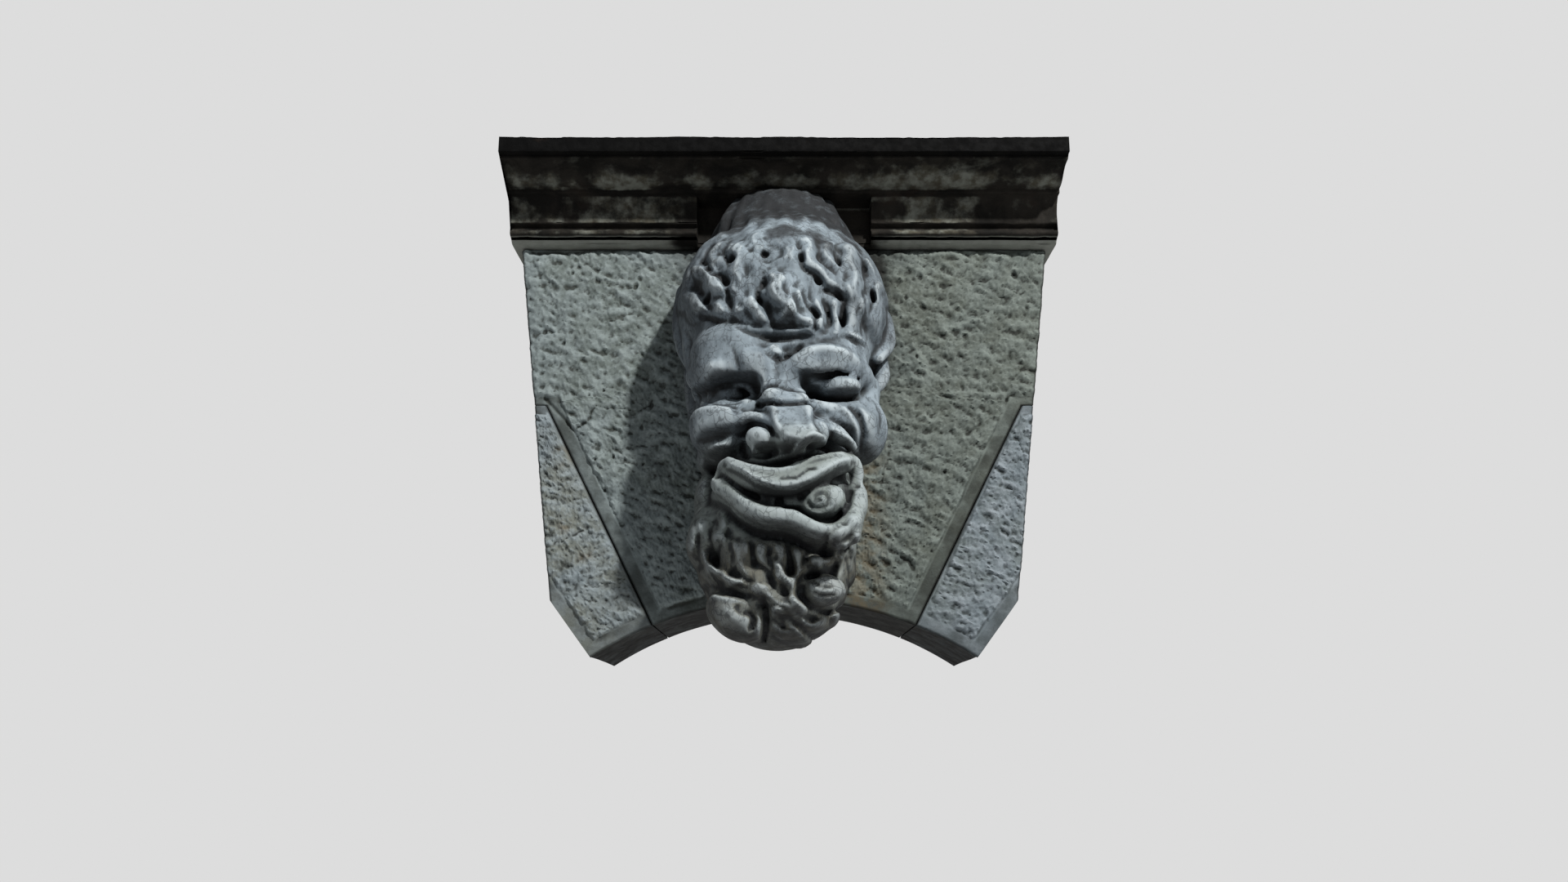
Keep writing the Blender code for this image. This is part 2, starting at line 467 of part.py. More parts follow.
def carve_mouth(clay):
    clay.add(ball((0.3, 26.5, 21.4), (13.4, 8.4, 12.2)), 3)
    clay.cut(roll([(-10.8, 31.4, 29.4), (-8, 28.2, 32.6), (-4, 25.4, 35.4), (0.5, 24.7, 36.6),
                   (5, 25.0, 36.6), (8.8, 26.4, 34.6), (11.2, 28.0, 32)],
                  [0.8, 1.8, 2.6, 2.9, 3.3, 3.3, 1.6], 1.7), 0.6)
    clay.add(block((-7.6, 27.2, 29.2), (1.6, 1.1, 1.6), -34, 0, 0.4), 0.2)
    clay.add(block((-3.0, 25.2, 31.2), (1.35, 1.6, 1.9), -10, 0, 0.35), 0.2)
    clay.add(block((1.3, 25.2, 31.4), (1.4, 1.5, 1.9), 6, 0, 0.35), 0.2)
    clay.add(ball((7.0, 25.3, 31.2), (4.5, 3.6, 4.2), 20), 0.4)
    clay.groove([(4.4, 24.6), (5.2, 23.7), (7.2, 23.7), (8.0, 25.0), (7.3, 26.2), (5.8, 25.9),
                 (5.6, 25.0), (6.6, 24.7)], 0.9, 0.7)
    clay.groove([(3.4, 25.9), (4.6, 27.0), (7.2, 28.0), (9.8, 28.8)], 0.8, 0.6)
    clay.add(roll([(-11.4, 33.0, 26.6), (-8.6, 31.0, 30.0), (-4.6, 29.0, 33.2), (-0.4, 28.3, 34.8),
                   (4, 29.4, 34.6), (8.2, 31.6, 32.2), (11.4, 33.0, 29.0)],
                  [1.3, 2.1, 2.5, 2.5, 2.4, 2.2, 1.8]), 1.2)
    clay.add(roll([(10.4, 33.6, 28.8), (13.0, 33.4, 27.4), (13.9, 31.0, 26.8), (12.8, 28.6, 27.0)],
                  [1.8, 1.6, 1.3, 0.9]), 0.6)
    clay.add(roll([(-9.8, 33.6, 27.8), (-11.6, 32.6, 26.4), (-12.4, 30.4, 26.2), (-11.6, 28.4, 27.4)],
                  [1.2, 1.1, 1.0, 0.9]), 0.6)
    clay.ridge([(-10.2, 32.2), (-7.3, 30.1), (-5.3, 28.5), (-3.4, 27.5), (-1.3, 26.8), (0.9, 26.7),
                (3.0, 27.3), (5.1, 28.3), (7.3, 29.8), (9.6, 31.5), (11.8, 32.7)], 1.6, 3.4, 1.0, "sharp")
    clay.ridge([(-10.4, 34.2), (-7.0, 32.0), (-4.5, 31.1), (-2.3, 30.4), (0.3, 30.5), (3.0, 31.8),
                (5.8, 33.1), (8.5, 34.2), (11.0, 34.9)], 0.7, 0.7, 1.3)
    clay.groove([(-10.0, 35.0), (-7.0, 33.1), (-4.2, 32.2), (-1.8, 31.7), (0.6, 31.9), (3.2, 33.2),
                 (5.8, 34.4), (8.6, 35.2), (11.2, 35.8)], 1.0, 0.9)
    clay.groove([(-0.6, 28.2), (1.9, 28.4), (3.0, 29.1), (4.3, 30.1), (5.6, 30.3)], 0.9, 0.5)
    clay.groove([(2.4, 30.3), (4.0, 31.0)], 0.5, 0.4)
    clay.add(roll([(-11.9, 31.0, 26.8), (-10.6, 28.2, 28.2), (-7.4, 24.7, 31.0), (-3.2, 22.2, 33.4),
                   (1.2, 21.3, 34.2), (4.8, 20.2, 34.4), (8.2, 19.4, 33.4), (11.2, 21.2, 31.0),
                   (13.3, 24.6, 28.4), (13.9, 28.2, 26)],
                  [1.0, 1.5, 1.9, 2.0, 2.0, 1.8, 1.8, 2.0, 1.8, 1.3]), 0.7)
    clay.ridge([(-12.0, 29.4), (-10.0, 27.4), (-7.6, 25.2), (-5.6, 23.8), (-3.6, 22.8), (-1.0, 22.4),
                (1.4, 22.1), (3.6, 21.0), (5.8, 19.6), (7.8, 19.2), (9.8, 19.8), (11.6, 21.6),
                (13.2, 24.4), (13.8, 27.6)], 1.1, 1.2, 2.6, "flat")
    clay.groove([(0.3, 23.7), (1.7, 23.6), (3.2, 22.9), (4.8, 21.7), (7.4, 21.2), (9.2, 21.6),
                 (10.5, 23.0)],
                1.2, 0.8)
    clay.ridge([(-6.2, 34.0), (-4.2, 33.0), (0.8, 32.6), (2.4, 33.6)], 0.7, 0.9)
    clay.ridge([(1.9, 32.2), (4.8, 35.2), (7.4, 35.9)], 0.9, 1.0)
    clay.groove([(-13.4, 27.0), (-10.8, 25.0), (-8.4, 22.4), (-5.4, 20.2), (-2.4, 19.2), (1.0, 18.9),
                 (4.2, 17.6), (7.6, 16.8), (10.8, 17.8), (13.4, 20.4)], 1.7, 2.2, 4.0)


def carve_beard(clay):
    locks = [
        ([(-16.6, 17.6), (-14.6, 15.6), (-12.5, 13.0), (-10.3, 11.6), (-7.4, 10.8)], 1.5, 0.8),
        ([(-16.2, 14.8), (-14.2, 12.6), (-11.3, 10.6), (-7.2, 9.4), (-3.1, 8.2), (0.9, 6.6),
          (3.0, 4.6)], 1.7, 1.4),
        ([(-10.9, 20.6), (-11.1, 17.6), (-10.4, 14.6), (-8.6, 12.4)], 1.5, 1.6),
        ([(-8.0, 19.0), (-8.2, 16.0), (-7.2, 13.4), (-5.6, 11.2), (-3.9, 9.2)], 1.8, 1.6),
        ([(-5.0, 18.4), (-4.6, 16.6), (-3.4, 14.2), (-1.7, 12.2), (-0.1, 10.8), (0.8, 9.0)], 1.6, 1.2),
        ([(-1.2, 18.6), (-1.0, 15.6), (-0.4, 12.6), (1.0, 10.2), (2.3, 7.9), (4.2, 5.7)], 1.5, 1.0),
        ([(2.6, 18.2), (2.7, 15.2), (2.4, 12.4), (1.4, 10.0)], 1.5, 1.1),
        ([(5.0, 18.0), (5.4, 15.8), (4.6, 13.4)], 1.4, 1.2),
        ([(13.4, 22.6), (12.1, 19.4), (9.5, 16.9), (7.4, 15.4), (5.6, 13.4)], 1.7, 1.4),
        ([(10.6, 18.4), (11.2, 15.6), (10.9, 13.0), (12.0, 10.6)], 1.6, 1.3),
        ([(14.4, 19.6), (13.6, 16.4), (13.2, 12.8)], 1.3, 1.2),
        ([(-14.8, 24.6), (-14.9, 20.6), (-14.4, 17.8)], 1.2, 1.4),
        ([(-17.6, 23.6), (-17.9, 19.8), (-17.0, 16.8)], 1.2, 1.4),
        ([(-12.0, 23.6), (-12.5, 20.6), (-13.0, 18.0)], 1.0, 1.0),
        ([(1.2, 8.0), (3.6, 6.6), (6.0, 6.1), (8.2, 6.4)], 1.0, 0.9),
        ([(-3.4, 6.8), (-0.6, 5.8), (0.9, 4.2), (2.4, 2.4)], 1.3, 1.1),
        ([(-3.4, 4.3), (-0.5, 3.0), (2.2, 1.8), (4.8, 1.4)], 1.3, 1.0),
        ([(1.7, 5.3), (3.9, 4.0), (7.0, 4.0), (9.0, 4.6)], 1.1, 0.9),
        ([(9.6, 8.2), (9.8, 6.0), (10.2, 4.2)], 1.0, 1.0),
    ]
    grooves = [
        ([(-17.6, 15.6), (-14.8, 14.6), (-12.6, 12.0), (-9.8, 10.6), (-6.8, 10.1)], 1.2, 0.7),
        ([(-15.6, 12.6), (-13.4, 11.2), (-11.0, 9.6), (-8.1, 8.9), (-5.1, 8.0), (-2.0, 6.9), (0.7, 5.4),
          (2.3, 4.0)], 2.0, 1.0),
        ([(-12.6, 19.4), (-12.3, 16.2), (-12.4, 14.2), (-11.2, 12.2)], 1.5, 0.9),
        ([(-9.7, 19.6), (-9.6, 16.0), (-8.9, 13.4), (-7.4, 11.3), (-5.4, 9.7)], 2.0, 0.9),
        ([(-6.6, 19.0), (-6.0, 16.8), (-4.9, 14.6), (-3.4, 12.9), (-2.4, 11.2)], 2.0, 0.9),
        ([(-2.9, 17.0), (-2.4, 14.4), (-1.2, 12.2), (-0.2, 10.2), (0.6, 8.4)], 1.5, 0.8),
        ([(0.4, 17.4), (0.9, 15.4), (1.3, 13.4), (0.9, 11.6)], 2.2, 1.2),
        ([(3.9, 17.0), (4.0, 14.8), (3.3, 12.9)], 1.5, 0.9),
        ([(7.0, 19.0), (7.6, 17.2), (7.0, 16.0)], 1.2, 1.0),
        ([(11.4, 17.8), (9.9, 15.4), (8.2, 14.3), (6.6, 14.2)], 1.8, 0.9),
        ([(12.4, 17.6), (12.4, 14.0), (12.2, 11.4)], 1.5, 0.9),
        ([(-16.3, 22.6), (-16.4, 19.4), (-15.8, 16.6)], 1.4, 0.8),
        ([(-13.6, 22.6), (-13.9, 19.6), (-13.8, 17.0)], 1.2, 0.8),
        ([(-4.0, 5.4), (-1.6, 4.2), (0.6, 2.8), (2.8, 1.0)], 1.4, 0.8),
        ([(1.0, 4.4), (3.6, 2.8), (6.8, 2.6), (9.0, 3.2)], 1.3, 0.8),
        ([(2.4, 5.9), (5.0, 5.0), (8.2, 5.2)], 1.1, 0.7),
    ]
    for points, height, width in locks:
        clay.lock(points, 1.25 * height, 1.6 * width, (-0.5, 0.5))
    for points, depth, width in grooves:
        clay.groove(wavy(points, 0.3), 0.62 * depth, 1.0 * width, 3.0)
    clay.add(ball((-9.0, 5.6, 19.0), (6.4, 4.4, 8.8), -32), 0.8)
    clay.groove([(-8.6, 6.4), (-7.7, 5.5), (-6.6, 5.5), (-5.7, 4.4), (-6.1, 2.8)], 1.2, 0.8)
    clay.ridge([(-13.2, 8.8), (-10.4, 8.2), (-7.4, 7.6), (-5.2, 6.6), (-4.2, 4.4),
                (-4.6, 2.4)], 0.8, 0.8, 1.2)
    clay.groove([(-3.8, 8.0), (-3.2, 6.0), (-3.3, 3.8), (-3.8, 1.6)], 1.6, 0.8)
    clay.lock([(-12.0, 6.8), (-10.0, 5.6), (-8.0, 4.0)], 0.3, 1.5)
    clay.add(ball((7.3, 10.0, 23.6), (4.4, 3.2, 5.6), -8), 0.5)
    clay.groove([(5.2, 11.2), (6.4, 10.3), (7.7, 10.0), (8.8, 10.2)], 0.9, 0.6)
    clay.groove([(5.6, 9.0), (7.4, 8.5), (9.2, 8.7)], 0.6, 0.6)
    clay.groove([(6.0, 12.4), (3.6, 12.2), (2.6, 10.6), (2.8, 8.6), (4.4, 7.0), (6.8, 6.4), (9.4, 6.9),
                 (11.4, 8.4)], 1.7, 0.9)
    clay.add(roll([(-3.4, 18.2, 27.6), (-2.2, 17.9, 28.6), (-1.5, 16.6, 29.0), (-2.2, 15.3, 29.0)],
                  [0.6, 0.9, 0.8, 0.5]), 0.4)


def calm_centre(points):
    """The hair lies smoother over the middle of the dome, and at its sides."""
    a, b = points[len(points) // 2]
    at_side = min(max((abs(a) - 13.0) / 6.0, 0.0), 1.0)
    return 1 - 0.55 * math.exp(-((a - 1.0) / 8.0) ** 2 - ((b - 73.0) / 7.0) ** 2) - 0.35 * at_side


def carve_hair(clay):
    locks = [
        ([(-11.6, 85.4), (-14.6, 83.4), (-17.6, 80.6), (-19.4, 77.0), (-19.6, 73.4)], 1.4, 1.6),
        ([(-19.8, 76.0), (-20.6, 71.6), (-19.4, 68.4), (-17.4, 66.2), (-15.2, 65.4)], 1.9, 1.5),
        ([(-17.4, 76.6), (-15.8, 72.6), (-14.2, 69.8), (-12.2, 68.0), (-11.6, 66.2)], 1.8, 1.5),
        ([(-12.8, 81.6), (-14.2, 78.4), (-14.4, 75.6), (-13.0, 73.2)], 1.4, 1.3),
        ([(-9.6, 80.2), (-10.8, 77.6), (-12.2, 75.2)], 1.2, 1.3),
        ([(-7.4, 78.6), (-8.8, 75.6), (-9.6, 72.4), (-8.6, 69.6), (-9.2, 66.6), (-8.0, 64.4),
          (-6.4, 61.6)], 1.5, 1.6),
        ([(-4.4, 82.0), (-6.2, 78.6), (-5.6, 75.8), (-6.4, 72.8), (-5.4, 69.8), (-6.2, 66.6),
          (-5.2, 64.0), (-3.9, 60.8)], 1.1, 1.5),
        ([(-1.8, 79.4), (-0.2, 77.2), (0.6, 75.0), (-0.6, 72.8), (-2.6, 71.8)], 1.1, 1.2),
        ([(-2.9, 70.8), (-2.2, 68.0), (-1.6, 65.8), (-0.8, 64.0), (0.4, 62.0), (-0.2, 60.2)], 2.0, 1.4),
        ([(0.6, 70.2), (0.6, 66.8), (1.6, 63.8), (3.3, 61.3), (4.9, 59.6), (5.8, 57.9)], 1.8, 1.5),
        ([(2.4, 68.0), (3.6, 65.6), (4.4, 63.4), (4.9, 61.4)], 1.2, 1.0),
        ([(1.6, 82.6), (1.2, 79.2), (2.0, 76.2), (1.6, 73.2), (2.2, 70.6)], 0.9, 1.5),
        ([(4.4, 80.6), (5.0, 77.6), (4.6, 74.4), (7.0, 70.9), (10.4, 68.6), (11.8, 65.6)], 1.6, 1.5),
        ([(8.2, 80.0), (8.4, 77.0), (9.0, 74.2), (11.2, 71.6), (13.0, 70.6)], 1.3, 1.4),
        ([(12.2, 80.6), (13.4, 76.8), (13.9, 73.0), (14.4, 68.8), (14.0, 64.0),
          (13.4, 60.0)], 1.9, 1.8),
        ([(16.6, 79.6), (18.4, 76.0), (18.2, 72.0), (17.0, 69.4), (17.0, 66.0),
          (16.0, 62.6)], 1.5, 1.5),
        ([(20.4, 74.4), (20.0, 71.4), (19.2, 68.2), (19.2, 65.0), (17.8, 61.4)], 1.6, 1.5),
        ([(6.4, 66.0), (6.9, 63.4), (7.0, 61.0), (6.8, 58.8)], 1.4, 0.9),
        ([(9.2, 66.2), (9.6, 63.8), (10.6, 61.4), (9.6, 59.2)], 1.5, 1.1),
        ([(-12.2, 66.4), (-12.8, 64.4), (-11.4, 62.6)], 1.3, 1.1),
        ([(-10.0, 64.8), (-9.8, 62.8), (-8.0, 61.6)], 1.1, 0.9),
    ]
    grooves = [
        ([(-17.0, 78.4), (-16.2, 75.8), (-14.0, 72.4), (-11.8, 70.4), (-11.0, 67.4), (-10.5, 64.6),
          (-9.3, 61.9)], 2.3, 1.1),
        ([(-17.6, 71.8), (-16.0, 68.6), (-14.9, 66.4), (-13.4, 64.2)], 1.8, 0.9),
        ([(-15.8, 80.6), (-15.7, 77.6), (-15.4, 75.4)], 1.2, 0.9),
        ([(-11.4, 79.4), (-12.4, 77.0), (-10.9, 74.6), (-10.6, 72.0)], 1.7, 0.9),
        ([(-7.1, 78.8), (-6.9, 76.7), (-5.6, 75.0), (-3.9, 74.8)], 1.4, 0.8),
        ([(-7.4, 74.6), (-7.8, 71.6), (-7.0, 68.8), (-7.6, 66.0), (-6.6, 63.4)], 1.3, 0.8),
        ([(-3.2, 77.6), (-1.0, 75.6), (-0.6, 73.8), (-3.0, 73.0), (-4.0, 74.8)], 1.5, 0.8),
        ([(-4.0, 71.6), (-4.2, 68.4), (-4.8, 65.6), (-4.6, 64.0), (-3.3, 63.2), (-2.7, 62.0),
          (-2.0, 60.6), (-0.6, 59.4), (1.4, 59.0)], 1.3, 0.9),
        ([(-0.4, 68.4), (0.2, 65.6), (1.6, 62.6), (1.8, 60.8), (0.8, 59.8)], 1.0, 0.8),
        ([(2.9, 77.6), (3.3, 74.4), (4.0, 71.8), (5.6, 70.1), (7.0, 68.9), (9.4, 67.2),
          (11.9, 66.2)], 2.4, 1.0),
        ([(3.4, 67.2), (4.2, 64.6), (5.6, 62.4), (6.0, 60.4), (6.5, 58.2), (8.6, 58.2)], 1.8, 0.8),
        ([(7.9, 65.6), (8.2, 62.6), (8.4, 60.0)], 1.5, 0.8),
        ([(11.9, 66.4), (11.6, 63.4), (11.2, 61.2), (11.4, 58.4)], 2.1, 1.0),
        ([(6.6, 79.4), (6.6, 76.4), (7.2, 73.8), (9.6, 71.2), (11.2, 69.6)], 1.6, 0.9),
        ([(10.3, 79.6), (10.4, 76.6), (10.7, 74.4), (11.8, 72.6)], 1.7, 0.9),
        ([(15.4, 78.6), (16.4, 74.6), (16.0, 71.4), (16.2, 68.0), (15.9, 63.4),
          (15.2, 59.8)], 2.0, 1.0),
        ([(19.0, 73.0), (18.0, 70.0), (18.0, 66.4), (17.4, 63.0)], 1.5, 0.8),
        ([(11.5, 58.2), (13.4, 57.6), (15.8, 58.6)], 1.4, 1.0),
        ([(-18.6, 66.0), (-16.6, 64.4), (-14.2, 63.0), (-11.6, 62.0)], 1.4, 0.9),
    ]
    for points, height, width in locks:
        clay.lock(points, 1.15 * calm_centre(points) * height, 1.5 * width)
    clay.ridge([(-3.6, 67.6), (-2.2, 65.0), (-0.6, 62.8), (1.4, 60.6)], 1.5, 2.6, 2.2, "plump", 1.5)
    clay.ridge([(-7.6, 66.2), (-6.4, 63.8), (-4.6, 61.6), (-2.4, 60.0)], 1.2, 2.0, 1.6, "plump", 1.5)
    for points, depth, width in grooves:
        clay.groove(wavy(points, 0.35), 0.64 * calm_centre(points) * depth, 0.84 * width, 3.0)
    clay.ridge([(-17.0, 66.0), (-12.6, 62.9), (-9.0, 61.6), (-5.2, 60.1), (-0.8, 59.4),
                (3.6, 58.8), (6.1, 57.8),
                (8.9, 57.8), (11.5, 58.8), (15.0, 58.6)], 0.6, 4.0, 0.8)
    clay.add(roll([(21.0, 68.5, 12), (21.4, 63.5, 12), (19.4, 58.8, 15)], [2.0, 2.2, 1.3]), 1)
    clay.add(roll([(20.4, 60.5, 10), (20.4, 56, 11), (18.6, 52.4, 13)], [1.6, 1.8, 1.2]), 1)
    clay.add(roll([(-22.0, 76, 9), (-22.4, 69.5, 9), (-21.2, 63, 11),
                   (-18.8, 57, 13)], [1.4, 1.7, 1.9, 1.4]), 1)
    clay.add(roll([(-20.0, 66, 14.5), (-19.2, 60, 16), (-18.2, 54.5, 17),
                   (-17.6, 50, 16)], [1.4, 1.8, 1.5, 1]), 1)
    clay.add(roll([(-19.6, 58, 8), (-18.8, 51, 9), (-17.8, 45, 10)], [1.8, 2.0, 1.4]), 1.2)
    holes = [(-10.3, 75.0, 0.7, 1.1, 30), (-11.6, 70.3, 0.9, 1.7, 25), (-3.8, 74.9, 1.0, 0.9, 0),
             (3.3, 73.9, 0.6, 1.3, 15), (6.7, 69.2, 0.7, 1.2, 50), (10.9, 66.8, 0.7, 1.3, 50),
             (10.6, 74.6, 0.5, 1.5, 15), (17.9, 69.4, 0.6, 1.3, 10), (-4.7, 64.6, 0.5, 0.9, 40),
             (11.2, 61.7, 0.6, 1.3, 10), (-15.3, 67.6, 0.6, 1.3, -30)]
    for a, b, wide, high, turn in holes:
        clay.cut(ball((a, b, hair_depth(a, b) + 1.6), (wide, high, 3.4), turn), 0.8)


def crown_depth(a, b):
    """How far out the smooth crown stands over the hair at (a, b)."""
    inside = 1 - ((a + 0.5) / 18) ** 2 - ((b - 84) / 20) ** 2
    return 15 * math.sqrt(max(inside, 0.05))


def carve_crown(clay):
    """Plain locks that run back over the crown to the wall."""
    for a in np.linspace(-14.0, 13.4, 9):
        path = [(a, 81.0, hair_depth(a, 81) - 1.6), (0.95 * a + 0.8, 86.0, hair_depth(a, 86) - 0.6),
                (0.84 * a - 0.6, 92.0, crown_depth(0.84 * a, 92) - 0.7),
                (0.74 * a, 99.0, crown_depth(0.74 * a, 99) - 0.9)]
        clay.add(roll(path, [1.2, 1.9, 1.9, 1.6]), 1.2)


# Solids
def mesh_object(name, points, faces):
    mesh = bpy.data.meshes.new(name)
    mesh.from_pydata([tuple(p) for p in points], [], [tuple(int(i) for i in f) for f in faces])
    mesh.update()
    solid = bpy.data.objects.new(name, mesh)
    bpy.context.collection.objects.link(solid)
    return solid


def facing_out(solid):
    """Welds doubled points and turns every face outwards."""
    made = bmesh.new()
    made.from_mesh(solid.data)
    bmesh.ops.remove_doubles(made, verts=made.verts, dist=MERGE)
    bmesh.ops.recalc_face_normals(made, faces=made.faces)
    made.to_mesh(solid.data)
    made.free()
    return solid


def prism(name, outline, back, front):
    """A solid between two upright planes from an outline of (x, z)."""
    count = len(outline)
    points = [(x, -back, z) for x, z in outline] + [(x, -front, z) for x, z in outline]
    faces = [tuple(range(count)), tuple(range(2 * count - 1, count - 1, -1))]
    faces += [(i, (i + 1) % count, count + (i + 1) % count, count + i) for i in range(count)]
    return facing_out(mesh_object(name, points, faces))


def cutter(solid):
    solid.hide_render = True
    solid.display_type = "WIRE"
    return solid


def join(solid, other, how):
    step = solid.modifiers.new(how.lower(), "BOOLEAN")
    step.operation = how
    step.solver = "EXACT"
    step.object = cutter(other)


# The outlines of the stones, right-hand side; the left is their mirror
def arch_z(x, margin=0.0):
    return ARCH_CENTRE_Z + math.sqrt((ARCH_RADIUS + margin) ** 2 - x ** 2)


def arch_points(start, end, margin=0.0):
    xs = [start + (end - start) * i / ARCH_STEPS for i in range(ARCH_STEPS + 1)]
    return [(x, arch_z(x, margin)) for x in xs]


def side_x(z):
    """The cut side of the fragment: it leans in towards the foot."""
    return WALL_HALF_TOP - (WALL_TOP_Z - z) * SIDE_TAPER


def key_x(z):
    """Half the width of the keystone behind the head."""
    low = arch_z(KEY_HALF_BOTTOM)
    share = (z - low) / (WALL_TOP_Z - low)
    return KEY_HALF_BOTTOM + (KEY_HALF_TOP - KEY_HALF_BOTTOM) * share


def joint_slope():
    top = side_x(BED_JOINT_Z) - BED_JOINT_LENGTH
    return (top - JOINT_HALF_BOTTOM) / (BED_JOINT_Z - arch_z(JOINT_HALF_BOTTOM))


def joint_x(z, off=0.0):
    """The slanted joint between the haunch and the voussoir, moved sideways by off."""
    return JOINT_HALF_BOTTOM + (z - arch_z(JOINT_HALF_BOTTOM)) * joint_slope() + off


def panel_corner_x(off):
    """Where the lower edge of a panel meets the joint moved sideways by off."""
    x = JOINT_HALF_BOTTOM
    for _ in range(CORNER_ROUNDS):
        x = joint_x(arch_z(x, ARCH_MARGIN), off)
    return x


def haunch_outline():
    low = KEY_HALF_BOTTOM + GAP
    outline = arch_points(low, JOINT_HALF_BOTTOM - GAP)
    outline += [(joint_x(BED_JOINT_Z + GAP, -GAP), BED_JOINT_Z + GAP)]
    outline += [(side_x(BED_JOINT_Z), BED_JOINT_Z + GAP), (WALL_HALF_TOP, WALL_TOP_Z)]
    outline += [(KEY_HALF_TOP + GAP, WALL_TOP_Z)]
    return outline


def haunch_panel():
    inner = key_x(arch_z(KEY_HALF_BOTTOM, ARCH_MARGIN)) + GAP
    corner = panel_corner_x(-JOINT_MARGIN)
    outline = arch_points(inner, corner, ARCH_MARGIN)
    turn_z = BED_JOINT_Z + BED_MARGIN
    outline += [(joint_x(turn_z, -JOINT_MARGIN), turn_z), (side_x(turn_z), turn_z)]
    top = WALL_TOP_Z - TOP_MARGIN
    outline += [(side_x(top), top), (key_x(top) + GAP, top)]
    return outline


def voussoir_outline():
    outline = arch_points(JOINT_HALF_BOTTOM + GAP, FOOT_HALF)
    outline += [(side_x(BED_OUTER_Z), BED_OUTER_Z), (side_x(BED_JOINT_Z), BED_JOINT_Z)]
    outline += [(joint_x(BED_JOINT_Z, GAP), BED_JOINT_Z)]
    return outline


def voussoir_panel():
    start = panel_corner_x(VOUSSOIR_MARGIN)
    foot = FOOT_HALF - ARCH_MARGIN / 2
    outline = arch_points(start, foot, ARCH_MARGIN)
    side_z = BED_OUTER_Z + ARCH_MARGIN
    top = BED_JOINT_Z - BED_MARGIN
    outline += [(side_x(side_z), side_z), (side_x(top), top)]
    outline += [(joint_x(top, VOUSSOIR_MARGIN), top)]
    return outline


def stone(name, outline, panel, side):
    """A wall stone: a flat slab with its rough face raised as a panel."""
    slab = prism(name, [(side * x, z) for x, z in outline], 0.0, WALL_DEPTH)
    face = prism("cut_" + name, [(side * x, z) for x, z in panel], WALL_DEPTH / 2, WALL_FACE)
    join(slab, face, "UNION")
    return slab


# The cornice
def cornice_profile():
    """(out, z) from the foot of the moulding up to its crown."""
    low, top = WALL_TOP_Z + GAP, WALL_TOP_Z + GAP + CORNICE_HEIGHT
    profile = [(0.0, low), (FOOT_OUT, low), (GROOVE_OUT, top - BEAD_DROP)]
    middle = top - (BEAD_DROP + GROOVE_DROP) / 2
    half = (BEAD_DROP - GROOVE_DROP) / 2
    for i in range(CURVE_STEPS + 1):
        angle = math.pi * (i / CURVE_STEPS - 0.5)
        out = GROOVE_OUT + (BEAD_OUT - GROOVE_OUT) * math.cos(angle)
        profile.append((out, middle + half * math.sin(angle)))
    profile.append((GROOVE_OUT, top - COVE_DROP - (GROOVE_DROP - COVE_DROP) / 2))
    for i in range(CURVE_STEPS + 1):
        angle = math.pi / 2 * i / CURVE_STEPS
        out = COVE_FOOT_OUT + (COVE_TOP_OUT - COVE_FOOT_OUT) * (1 - math.cos(angle))
        profile.append((out, top - COVE_DROP + (COVE_DROP - SOFFIT_DROP) * math.sin(angle)))
    profile += [(EDGE_OUT, top - SOFFIT_DROP), (EDGE_OUT, top - EDGE_DROP)]
    for i in range(CURVE_STEPS + 1):
        share = i / CURVE_STEPS
        rise = share - math.sin(2 * math.pi * share) / (2 * math.pi) * CYMA_SWING
        out = EDGE_OUT + CYMA_STEP + (CYMA_OUT - EDGE_OUT - CYMA_STEP) * share
        profile.append((out, top - EDGE_DROP + (EDGE_DROP - FILLET_DROP) * rise))
    profile += [(FILLET_OUT, top - FILLET_DROP), (FILLET_OUT, top - CROWN_DROP)]
    profile += [(CROWN_OUT, top - CROWN_DROP), (CROWN_OUT, top)]
    return profile


def build_cornice():
    profile = cornice_profile()
    outline = [(0.0, profile[-1][1]), (0.0, profile[0][1])]
    outline += [(-WALL_FACE - out, z) for out, z in profile]
    count = len(outline)
    points = [(x, y, z) for x in (-CORNICE_HALF, CORNICE_HALF) for y, z in outline]
    faces = [tuple(range(count)), tuple(range(2 * count - 1, count - 1, -1))]
    faces += [(i, (i + 1) % count, count + (i + 1) % count, count + i) for i in range(count)]
    cornice = facing_out(mesh_object("cornice", points, faces))
    low = profile[0][1]
    soffit = low + CORNICE_HEIGHT - SOFFIT_DROP
    notch = [(-NOTCH_HALF, low - TAIL_REACH), (NOTCH_HALF, low - TAIL_REACH),
             (NOTCH_HALF, soffit), (-NOTCH_HALF, soffit)]
    join(cornice, prism("cut_notch", notch, WALL_FACE, WALL_FACE + CROWN_OUT), "DIFFERENCE")
    return cornice


# The keystone
def carve_head():
    clay = Clay(CLAY_LOW, CLAY_HIGH, CLAY_STEP)
    carve_masses(clay)
    carve_brows(clay)
    carve_eyes(clay)
    carve_cheeks(clay)
    carve_nose(clay)
    carve_mouth(clay)
    carve_beard(clay)
    carve_hair(clay)
    carve_crown(clay)
    soffit = WALL_TOP_Z + CORNICE_HEIGHT - SOFFIT_DROP
    clay.trim(2, 0.0, -1)
    clay.trim(1, (soffit - MASK_FOOT_Z) / UNIT, 1)
    return clay.skin()


def place(points):
    """From the head's units to metres."""
    across, up, out = points.T * UNIT
    return np.column_stack([across, -WALL_FACE - GAP - out, MASK_FOOT_Z + up])


